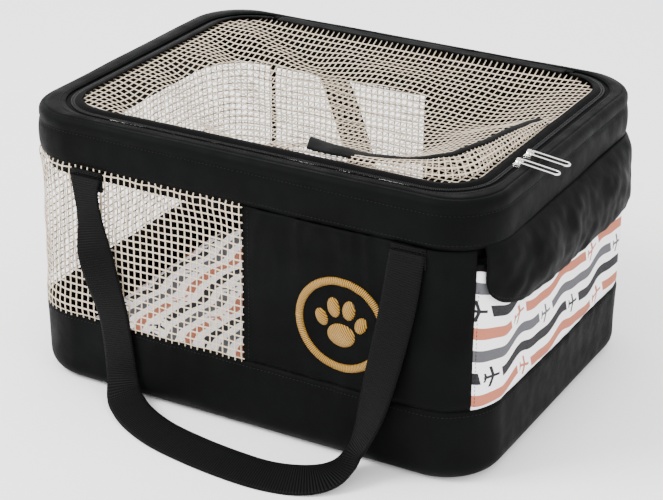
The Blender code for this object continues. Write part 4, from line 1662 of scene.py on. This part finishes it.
@dataclass
class Pocket(Sewn):
    """The end pocket: its printed panel, black hem, and the flap with its closure tapes."""

    hem: float = 6.0 * MM
    top: float = 0.178
    flap_bottom: float = 0.146
    flap_bulge: float = 15.0 * MM
    flap_corner: float = 22.0 * MM
    end_rise: float = 13.0 * MM

    def build(self) -> None:
        """Builds the pocket and its flap."""
        self.panel()
        self.hem_band()
        self.flap()
        self.closures()

    def slack(self, distance: float, height: float) -> float:
        """How far the pocket's panel stands out."""
        first, last = self.sizes.round_end(self.sizes.pocket_turn)
        ends = smooth((distance - first) / 0.04) * smooth((last - distance) / 0.04)
        rise = smooth((height - self.sizes.lower_seam) / 0.05)
        return ends * rise * (1.2 * MM * ripple(distance, height, 0.05, 51.0))

    def rise(self, distance: float) -> float:
        """How much higher the pocket's edge is than at its middle: it climbs towards the front panel."""
        first, _ = self.sizes.round_end(self.sizes.pocket_turn)
        return self.end_rise * (1.0 - smooth((distance - first) / 0.045))

    def panel(self) -> None:
        """The printed panel, sewn in at its sides and at the lower seam."""
        sizes = self.sizes
        first, last = sizes.round_end(sizes.pocket_turn)
        low = sizes.lower_seam + 0.3 * MM
        full = self.top - self.hem - low

        def place(along: float, up: float) -> Vector:
            """Round the end of the carrier."""
            z = low + up * (1.0 + self.rise(first + along) / full)
            return sizes.wall(first + along, z, self.slack(first + along, z), 0.5)

        cloth(
            "Pocket_panel",
            (last - first, self.top - self.hem - low),
            place,
            self.finishes.printed,
            step=3.2 * MM,
            thickness=0.8 * MM,
        )
        for name, distance in (("left", first + 2.5 * MM), ("right", last - 2.5 * MM)):
            line = []
            for number in range(24):
                height = low + 2 * MM + number * 4.5 * MM
                point = sizes.wall(distance, height, 0.2 * MM + self.slack(distance, height), 0.5)
                line.append((point, sizes.plan.at(distance)[1]))
            self.sew(f"Stitches_pocket_{name}", line)

    def hem_band(self) -> None:
        """The black binding folded over the pocket's top edge."""
        sizes = self.sizes
        first, last = sizes.round_end(sizes.pocket_turn)
        low = self.top - self.hem + 0.3 * MM

        def place(along: float, up: float) -> Vector:
            """Up the outside of the pocket's edge."""
            z = low + up + self.rise(first + along)
            roll = 0.4 * MM * math.sin(math.pi * up / self.hem)
            return sizes.wall(first + along, z, 0.1 * MM + roll + self.slack(first + along, z), 0.5)

        cloth(
            "Pocket_hem",
            (last - first, self.top - low),
            place,
            self.finishes.polyester,
            step=2 * MM,
            thickness=1.4 * MM,
        )

    def flap_point(self, along: float, down: float, length: float) -> Vector:
        """A point on the flap.

        Args:
            along: Place along its width, from its -Y end.
            down: Share of the way from its seam to its free edge.
            length: Its whole width.
        """
        sizes = self.sizes
        first, _ = sizes.round_end(sizes.flap_turn)
        ends = min(along, length - along)
        corner = self.flap_corner
        raised = 0.9 * (corner - math.sqrt(corner**2 - (corner - min(ends, corner)) ** 2))
        raised += 10.0 * MM * (1.0 - smooth(ends / 0.060))
        top = sizes.upper_seam + 2.8 * MM
        drop = (top - self.flap_bottom - raised) * down
        z = top - drop
        across = smooth(ends / 0.07)
        depth = drop / (sizes.upper_seam - self.flap_bottom)
        bulge = self.flap_bulge * (math.sin(math.pi * min(depth * 0.78, 1.0)) ** 0.9)
        bulge *= 0.25 + 0.75 * across
        crease = 3.0 * MM * ripple(along, z, 0.032, 52.0) * smooth(depth * 3)
        crease += 1.4 * MM * ripple(along, z, 0.012, 53.0)
        stand = 0.2 * MM + 1.6 * MM * smooth(depth * 6)
        return sizes.wall(first + along, z, stand + bulge + crease * smooth(depth * 4), 0.3)

    def flap(self) -> None:
        """The flap: cut in one piece with rounded lower corners, and bulging away from the pocket."""
        sizes = self.sizes
        first, last = sizes.round_end(sizes.flap_turn)
        length = last - first + 6 * MM
        height, margin, count = 0.064, 0.004, 80

        def place(along: float, up: float) -> Vector:
            """Hanging from the upper seam."""
            return self.flap_point(along, 1.0 - up / height, length)

        cloth(
            "Pocket_flap",
            (length, height),
            place,
            self.finishes.polyester,
            Body.FLAP,
            step=2.6 * MM,
            thickness=1.6 * MM,
        )
        line = []
        for number in range(count + 1):
            share = number / count
            point = self.flap_point(margin + (length - 2 * margin) * share, 0.93, length)
            line.append((point, sizes.plan.at(first + length * share)[1]))
        self.sew("Stitches_flap", line, Body.FLAP)

    def closures(self) -> None:
        """The two halves of the hook and loop closure."""
        for name, body, lift in (
            ("Pocket_closure_tape", Body.SHELL, 0.0),
            ("Flap_closure_tape", Body.FLAP, 0.4 * MM),
        ):
            low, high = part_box(name.lower())

            def place(along: float, up: float) -> Vector:
                """A short flat tape across the pocket."""
                return Vector((high[0] + lift, low[1] + along, low[2] + up))

            cloth(
                name,
                (high[1] - low[1], high[2] - low[2]),
                place,
                self.finishes.hooks,
                body,
                step=2.5 * MM,
                thickness=0.9 * MM,
            )


# --- Handles -----------------------------------------------------------------------------------------


@dataclass(frozen=True)
class StrapKnot:
    """A place in millimetres that a strap passes through, and the direction and share of its width."""

    place: tuple[float, float, float]
    across: tuple[float, float, float]
    gathered: float = 1.0


@dataclass
class Handle:
    """A carrying handle: one length of webbing, its sewn roots and their box stitches."""

    finishes: Finishes
    name: str
    body: Body
    side: float
    root_xs: tuple[float, float]
    knots: tuple[StrapKnot, ...]
    width: float = 30 * MM
    thickness: float = 1.8 * MM

    def build(self) -> None:
        """Builds the handle and its roots."""
        self.strap()
        for end, x in zip(("left", "right"), self.root_xs):
            self.root(end, x)

    def frame_at(self, share: float) -> tuple[Vector, Vector]:
        """The strap's middle and the direction of its width, by the share of its knots."""
        places = [Vector(knot.place) * MM for knot in self.knots]
        acrosses = [Vector(knot.across).normalized() for knot in self.knots]
        position = share * (len(self.knots) - 1)
        return spline(places, position), spline(acrosses, position).normalized()

    def gathered_at(self, share: float) -> float:
        """The share of the strap's width that is seen there, where it curls lengthwise."""
        position = share * (len(self.knots) - 1)
        return spline([Vector((knot.gathered, 0.0, 0.0)) for knot in self.knots], position).x

    def strap(self) -> None:
        """The strap, from one root, down the wall, over the floor and back up to the other root."""
        steps = 400
        run = [0.0]
        before = self.frame_at(0.0)[0]
        for number in range(1, steps + 1):
            here = self.frame_at(number / steps)[0]
            run.append(run[-1] + (here - before).length)
            before = here
        total = run[-1]
        LOG.info("%s: %.1f mm of webbing", self.name, total / MM)

        def share_at(distance: float) -> float:
            """The share of the knots at a distance along the strap."""
            low, high = 0, steps
            while high - low > 1:
                middle = (low + high) // 2
                if run[middle] <= distance:
                    low = middle
                else:
                    high = middle
            return (low + (distance - run[low]) / max(run[high] - run[low], 1e-9)) / steps

        def place(along: float, up: float) -> Vector:
            """Across the strap and along it."""
            share = share_at(clamp(up, 0.0, total))
            centre, across = self.frame_at(share)
            near, far = max(share - 0.002, 0.0), min(share + 0.002, 1.0)
            ahead = (self.frame_at(far)[0] - self.frame_at(near)[0]).normalized()
            square = (across - ahead * across.dot(ahead)).normalized()
            normal = ahead.cross(square)
            across = across.lerp(square, smooth(min(up, total - up) / 0.03))
            from_middle = (along - self.width / 2) * self.gathered_at(share)
            edge = smooth((abs(from_middle) - self.width / 2 + 2 * MM) / (2 * MM))
            point = centre - across * from_middle + normal * (-0.25 * MM * edge)
            return Vector((point.x, point.y, max(point.z, 0.95 * MM)))

        cloth(
            self.name.capitalize(),
            (self.width, total),
            place,
            self.finishes.webbing,
            self.body,
            step=2.2 * MM,
            thickness=self.thickness,
            offset=0.0,
        )

    def root(self, end: str, x: float) -> None:
        """The end of the webbing, sewn flat to the wall under the top band.

        Args:
            end: Which end.
            x: Its middle.
        """
        node = f"{self.name}_root_{end}"
        low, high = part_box(node)
        out = self.side
        face = (low[1] if out < 0 else high[1]) + out * 0.6 * MM

        def place(along: float, up: float) -> Vector:
            """Flat against the wall."""
            across = (along - self.width / 2) * (-out)
            z = low[2] + up
            bow = 0.5 * MM * math.cos(math.pi * (along / self.width - 0.5))
            return Vector((x + across, face + out * bow, z))

        cloth(
            node.capitalize(),
            (self.width, high[2] - low[2]),
            place,
            self.finishes.webbing,
            step=1.6 * MM,
            thickness=self.thickness,
        )
        normal = Vector((0.0, out, 0.0))
        left, right = x - self.width / 2 + 3 * MM, x + self.width / 2 - 3 * MM
        bottom, top = low[2] + 2 * MM, high[2] - 2 * MM
        y = face + out * 0.7 * MM
        corners = ((left, bottom), (right, bottom), (right, top), (left, top))
        order = (0, 1, 2, 3, 0, 2, 3, 1)
        line = [(Vector((corners[corner][0], y, corners[corner][1])), normal) for corner in order]
        stitches(f"Stitches_{node}", line, self.finishes.stitching, Body.SHELL, pitch=2.8 * MM)


def front_handle(finishes: Finishes) -> Handle:
    """The front handle: it hangs outwards and its run lies on the floor, tilted towards the wall."""
    out, side = -166.7, -1.0
    knots = (
        StrapKnot((-142.0, out, 198.0), (1.0, 0.0, 0.0)),
        StrapKnot((-142.5, out, 182.0), (1.0, 0.0, 0.05), 0.78),
        StrapKnot((-139.0, out - 0.4, 158.0), (1.0, 0.03, 0.1), 0.80),
        StrapKnot((-133.0, out - 5.0, 134.0), (0.93, 0.36, 0.1), 0.95),
        StrapKnot((-127.0, out - 3.0, 106.0), (0.98, 0.20, 0.1)),
        StrapKnot((-120.0, out, 75.0), (1.0, 0.0, 0.15)),
        StrapKnot((-115.5, out, 42.0), (1.0, 0.0, 0.2)),
        StrapKnot((-112.0, out - 2.0, 20.0), (0.97, 0.12, 0.2)),
        StrapKnot((-106.0, out - 9.5, 9.5), (0.90, 0.34, 0.25)),
        StrapKnot((-94.0, out - 20.5, 7.5), (0.74, 0.60, 0.28)),
        StrapKnot((-75.0, out - 33.0, 6.5), (0.52, 0.80, 0.30)),
        StrapKnot((-45.0, out - 45.5, 6.0), (0.32, 0.90, 0.30)),
        StrapKnot((-8.0, out - 53.4, 5.8), (0.16, 0.93, 0.30)),
        StrapKnot((28.0, out - 57.8, 5.8), (0.06, 0.94, 0.30)),
        StrapKnot((60.0, out - 58.4, 5.8), (-0.08, 0.94, 0.30)),
        StrapKnot((86.0, out - 53.5, 6.5), (-0.36, 0.88, 0.34)),
        StrapKnot((104.0, out - 43.0, 8.0), (-0.54, 0.80, 0.26)),
        StrapKnot((113.0, out - 28.0, 12.0), (-0.58, 0.80, 0.05)),
        StrapKnot((117.5, out - 15.0, 20.0), (-0.68, 0.72, -0.10)),
        StrapKnot((122.0, out - 9.5, 34.0), (-0.80, 0.58, -0.14)),
        StrapKnot((129.0, out - 4.5, 62.0), (-0.94, 0.30, -0.12)),
        StrapKnot((138.0, out - 1.5, 104.0), (-1.0, 0.10, -0.15)),
        StrapKnot((147.0, out - 0.2, 150.0), (-1.0, 0.0, -0.1)),
        StrapKnot((154.0, out, 198.0), (-1.0, 0.0, 0.0)),
    )
    return Handle(finishes, "front_handle", Body.FRONT_HANDLE, side, (-0.142, 0.154), knots)


def rear_handle(finishes: Finishes) -> Handle:
    """The rear handle: it hangs down and lies flat on the floor behind the carrier."""
    out, side = 166.7, 1.0
    half: tuple[StrapKnot, ...] = (
        StrapKnot((100.0, out, 198.0), (-1.0, 0.0, 0.0)),
        StrapKnot((84.0, out + 1.5, 160.0), (-1.0, 0.0, 0.1)),
        StrapKnot((66.0, out + 1.0, 110.0), (-1.0, 0.0, 0.1)),
        StrapKnot((53.0, out, 60.0), (-1.0, 0.0, 0.05)),
        StrapKnot((48.5, out + 0.5, 24.0), (-1.0, 0.0, 0.0)),
        StrapKnot((47.5, out + 8.0, 5.0), (-1.0, 0.0, 0.0)),
        StrapKnot((46.5, out + 30.0, 1.6), (-1.0, 0.0, 0.02)),
        StrapKnot((41.0, out + 58.0, 2.6), (-0.94, -0.34, 0.06)),
        StrapKnot((25.0, out + 80.0, 3.4), (-0.55, -0.83, 0.1)),
    )
    middle = StrapKnot((0.0, out + 88.5, 3.6), (0.0, -1.0, 0.12))
    other = tuple(
        StrapKnot((-knot.place[0], *knot.place[1:]), (-knot.across[0], *knot.across[1:]))
        for knot in reversed(half)
    )
    knots = half + (middle,) + other
    return Handle(finishes, "rear_handle", Body.REAR_HANDLE, side, (-0.100, 0.100), knots)


# --- Emblem and mat ----------------------------------------------------------------------------------


@dataclass
class Emblem(Sewn):
    """The embroidered mark: a paw print of five padded shapes inside a plain ring of satin stitch."""

    x: float = 0.095
    height: float = 0.120
    radius: float = 0.041
    ring: float = 3.4 * MM
    pads: tuple[tuple[float, float, float, float, float], ...] = (
        (0.0, -9.5, 12.5, 10.0, 0.0),
        (-17.5, 3.0, 5.2, 7.6, 24.0),
        (-6.8, 13.5, 5.6, 8.8, 8.0),
        (6.8, 13.5, 5.6, 8.8, -8.0),
        (17.5, 3.0, 5.2, 7.6, -24.0),
    )

    def build(self) -> None:
        """Builds the ring and the pads as one raised piece."""
        shape = bmesh.new()
        layer = shape.loops.layers.uv.new("UVMap")
        face_y = -self.sizes.width / 2
        middle = Vector((self.x, face_y, self.height))
        made = bmesh.ops.create_circle(shape, segments=12, radius=self.ring)
        bmesh.ops.rotate(shape, verts=made["verts"], matrix=Matrix.Rotation(math.pi / 2, 3, "Z"))
        bmesh.ops.scale(shape, vec=(1.0, 0.6, 1.0), verts=made["verts"])
        bmesh.ops.translate(shape, vec=(self.radius - self.ring, 0.0, 0.0), verts=made["verts"])
        bmesh.ops.spin(
            shape,
            geom=made["verts"] + list(shape.edges),
            cent=(0.0, 0.0, 0.0),
            axis=(0.0, 1.0, 0.0),
            dvec=(0.0, 0.0, 0.0),
            angle=math.tau,
            steps=120,
            use_merge=True,
            use_duplicate=False,
        )
        bmesh.ops.recalc_face_normals(shape, faces=shape.faces)
        for face in shape.faces:
            centre = face.calc_center_median()
            base = math.atan2(centre.z, centre.x)
            for loop in face.loops:
                turn = math.atan2(loop.vert.co.z, loop.vert.co.x)
                turn = base + (turn - base + math.pi) % math.tau - math.pi
                loop[layer].uv = (turn * self.radius, loop.vert.co.y)
        bmesh.ops.translate(shape, vec=middle, verts=shape.verts)
        for across, up, half_x, half_z, lean in self.pads:
            known = set(shape.faces)
            size = Matrix.Diagonal((half_x * MM, 2.6 * MM, half_z * MM, 1.0))
            turn = Matrix.Rotation(math.radians(lean), 4, "Y")
            where = Matrix.Translation(middle + Vector((across * MM, 0.2 * MM, up * MM)))
            bmesh.ops.create_uvsphere(
                shape, u_segments=40, v_segments=20, radius=1.0, matrix=where @ turn.inverted() @ size
            )
            slope = math.radians(lean + 35.0)
            for face in set(shape.faces) - known:
                for loop in face.loops:
                    away = loop.vert.co - middle
                    loop[layer].uv = (away.x * math.cos(slope) + away.z * math.sin(slope), away.z)
        for vert in shape.verts:
            vert.co.y -= self.sizes.swell(vert.co.x, vert.co.z)
        finished("Emblem", shape, self.finishes.gold, Body.SHELL, ["emblem"])


@dataclass
class Mat:
    """The loose padded floor mat, swollen by a little cloth pressure inside its printed cover."""

    finishes: Finishes
    shrink: float = 1.5 * MM
    corner: float = 42.0 * MM
    edge: float = 5.5 * MM
    voxel: float = 5.0 * MM
    cap: float = 4.0 * MM
    pressure: float = 4.0
    steps: int = 20
    headroom: float = 2.5 * MM

    def build(self) -> None:
        """Builds the mat."""
        low, high = (Vector(corner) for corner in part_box("floor_mat"))
        middle, size = (low + high) / 2, high - low
        shape = bmesh.new()
        core = (size.x - 2 * self.shrink, size.y - 2 * self.shrink, size.z - self.shrink, 1.0)
        matrix = Matrix.Translation(middle) @ Matrix.Diagonal(core)
        bmesh.ops.create_cube(shape, size=1.0, matrix=matrix)
        upright = [
            edge for edge in shape.edges if abs((edge.verts[0].co - edge.verts[1].co).z) > size.z / 2
        ]
        bevel = partial(bmesh.ops.bevel, shape, profile=0.5, affect="EDGES", material=-1)
        bevel(geom=upright, offset=self.corner, segments=10)
        flat = [edge for edge in shape.edges if edge.is_manifold and edge.calc_face_angle(0.0) > 1.0]
        bevel(geom=flat, offset=self.edge, segments=4)
        made = placed("Floor_mat", mesh_from("Floor_mat", shape))
        remesh = made.modifiers.new("even", "REMESH")
        remesh.mode = "VOXEL"
        remesh.voxel_size = self.voxel
        self.settle(made)
        self.inflate(made, low, high)
        mesh = made.data
        layer = mesh.uv_layers.new(name="UVMap")
        for loop in mesh.loops:
            place = mesh.vertices[loop.vertex_index].co
            layer.data[loop.index].uv = (place.y, place.x)
        mesh.materials.clear()
        mesh.materials.append(self.finishes.printed)
        mesh.shade_smooth()
        rounder = made.modifiers.new("rounding", "SUBSURF")
        rounder.levels = rounder.render_levels = 1
        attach(made, Body.MAT.value)
        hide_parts("floor_mat")
        LOG.info("Floor_mat: %d faces", len(mesh.polygons))

    @staticmethod
    def settle(made: bpy.types.Object) -> None:
        """Makes the modifiers' result the object's own mesh."""
        seen = made.evaluated_get(bpy.context.evaluated_depsgraph_get())
        mesh = bpy.data.meshes.new_from_object(seen)
        made.modifiers.clear()
        made.data = mesh

    def inflate(self, made: bpy.types.Object, low: Vector, high: Vector) -> None:
        """Swells the mat with cloth pressure, and holds it inside its room.

        Args:
            made: The remeshed mat.
            low: Lowest corner of its room.
            high: Highest corner of its room.
        """
        start = [vert.co.copy() for vert in made.data.vertices]
        cloth_step = made.modifiers.new("pressure", "CLOTH")
        cloth_step.settings.use_pressure = True
        cloth_step.settings.uniform_pressure_force = self.pressure
        cloth_step.settings.effector_weights.gravity = 0.0
        cloth_step.settings.tension_stiffness = 20.0
        cloth_step.settings.compression_stiffness = 20.0
        scene = bpy.context.scene
        cloth_step.point_cache.frame_start = 1
        cloth_step.point_cache.frame_end = self.steps
        for number in range(self.steps):
            scene.frame_set(number + 1)
        self.settle(made)
        scene.frame_set(1)
        roof = (high.x, high.y, high.z + self.headroom)
        for vert, before in zip(made.data.vertices, start):
            move = vert.co - before
            if move.length > self.cap:
                move *= self.cap / move.length
            place = before + move
            vert.co = Vector([clamp(place[axis], low[axis], roof[axis]) for axis in range(3)])


# --- Hardware left from the frame, stage and light ---------------------------------------------------


def dress_frame(finishes: Finishes) -> None:
    """Gives the hard CAD pieces that still show their finishes."""
    for node, dress in (
        ("base_board", finishes.board),
        ("rim_wire", finishes.steel),
        ("wire_ferrule", finishes.steel),
    ):
        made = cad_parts[node]
        for place in made.material_slots:
            place.material = dress
        LOG.info("%s dressed", node)


@dataclass
class Studio:
    """A plain pale floor, soft daylight from all round and a large soft lamp above."""

    lens: float = 110.1
    turn: float = math.radians(29.017)
    rise: float = math.radians(24.973)
    roll: float = math.radians(0.324)
    away: float = 1.812292
    shift: tuple[float, float] = (-0.002791, 0.088219)

    def build(self) -> None:
        """Builds the floor, the lights and the camera."""
        self.floor()
        self.lights()
        self.camera()

    def floor(self) -> None:
        """A wide matt white floor."""
        shape = bmesh.new()
        bmesh.ops.create_grid(shape, x_segments=4, y_segments=4, size=4.0)
        made = placed("Studio_floor", mesh_from("Studio_floor", shape))
        paper = GrainedPlastic("matt white paper", "fbfbfb", 0.9, grain=60.0, depth=0.02)
        made.data.materials.append(paper.build())

    def lights(self) -> None:
        """White surroundings and two soft lamps."""
        world = bpy.data.worlds.new("studio")
        world.use_nodes = True
        world.node_tree.nodes["Background"].inputs[0].default_value = linear("ffffff")
        world.node_tree.nodes["Background"].inputs[1].default_value = 2.3
        bpy.context.scene.world = world
        for name, place, power, size in (
            ("key", (-1.3, -1.3, 1.9), 80.0, 1.0),
            ("side", (1.9, -0.8, 1.0), 17.0, 0.9),
            ("back", (0.3, 1.9, 2.2), 8.0, 1.4),
        ):
            lamp = bpy.data.lights.new(name, "AREA")
            lamp.energy = power
            lamp.size = size
            made = placed(name, lamp)
            made.location = place
            aim = Vector((0.0, 0.0, 0.1)) - Vector(place)
            made.rotation_euler = aim.to_track_quat("-Z", "Y").to_euler()

    def camera(self) -> None:
        """The camera, a little to the right of the front and above."""
        back = Vector(
            (
                math.sin(self.turn) * math.cos(self.rise),
                -math.cos(self.turn) * math.cos(self.rise),
                math.sin(self.rise),
            )
        )
        right = Vector((math.cos(self.turn), math.sin(self.turn), 0.0))
        up = back.cross(right)
        turned_right = right * math.cos(self.roll) + up * math.sin(self.roll)
        turned_up = up * math.cos(self.roll) - right * math.sin(self.roll)
        data = bpy.data.cameras.new("camera")
        data.sensor_width = 36.0
        data.lens = self.lens
        data.clip_start, data.clip_end = 0.05, 30.0
        made = placed("camera", data)
        place = turned_right * self.shift[0] + turned_up * self.shift[1] + back * self.away
        axes = Matrix((turned_right, turned_up, back)).transposed().to_4x4()
        made.matrix_world = Matrix.Translation(place) @ axes
        bpy.context.scene.camera = made


def main() -> None:
    """Builds the carrier piece by piece, then its surroundings."""
    logging.basicConfig(level=logging.INFO, format="%(name)s: %(message)s")
    Studio().build()
    finishes = Finishes()
    Walls(finishes).build()
    SideNet(finishes).build()
    Rim(finishes).build()
    Zip(finishes).build()
    Lid(finishes).build()
    Pocket(finishes).build()
    front_handle(finishes).build()
    rear_handle(finishes).build()
    Emblem(finishes).build()
    Mat(finishes).build()
    dress_frame(finishes)


if __name__ == "__main__":
    main()
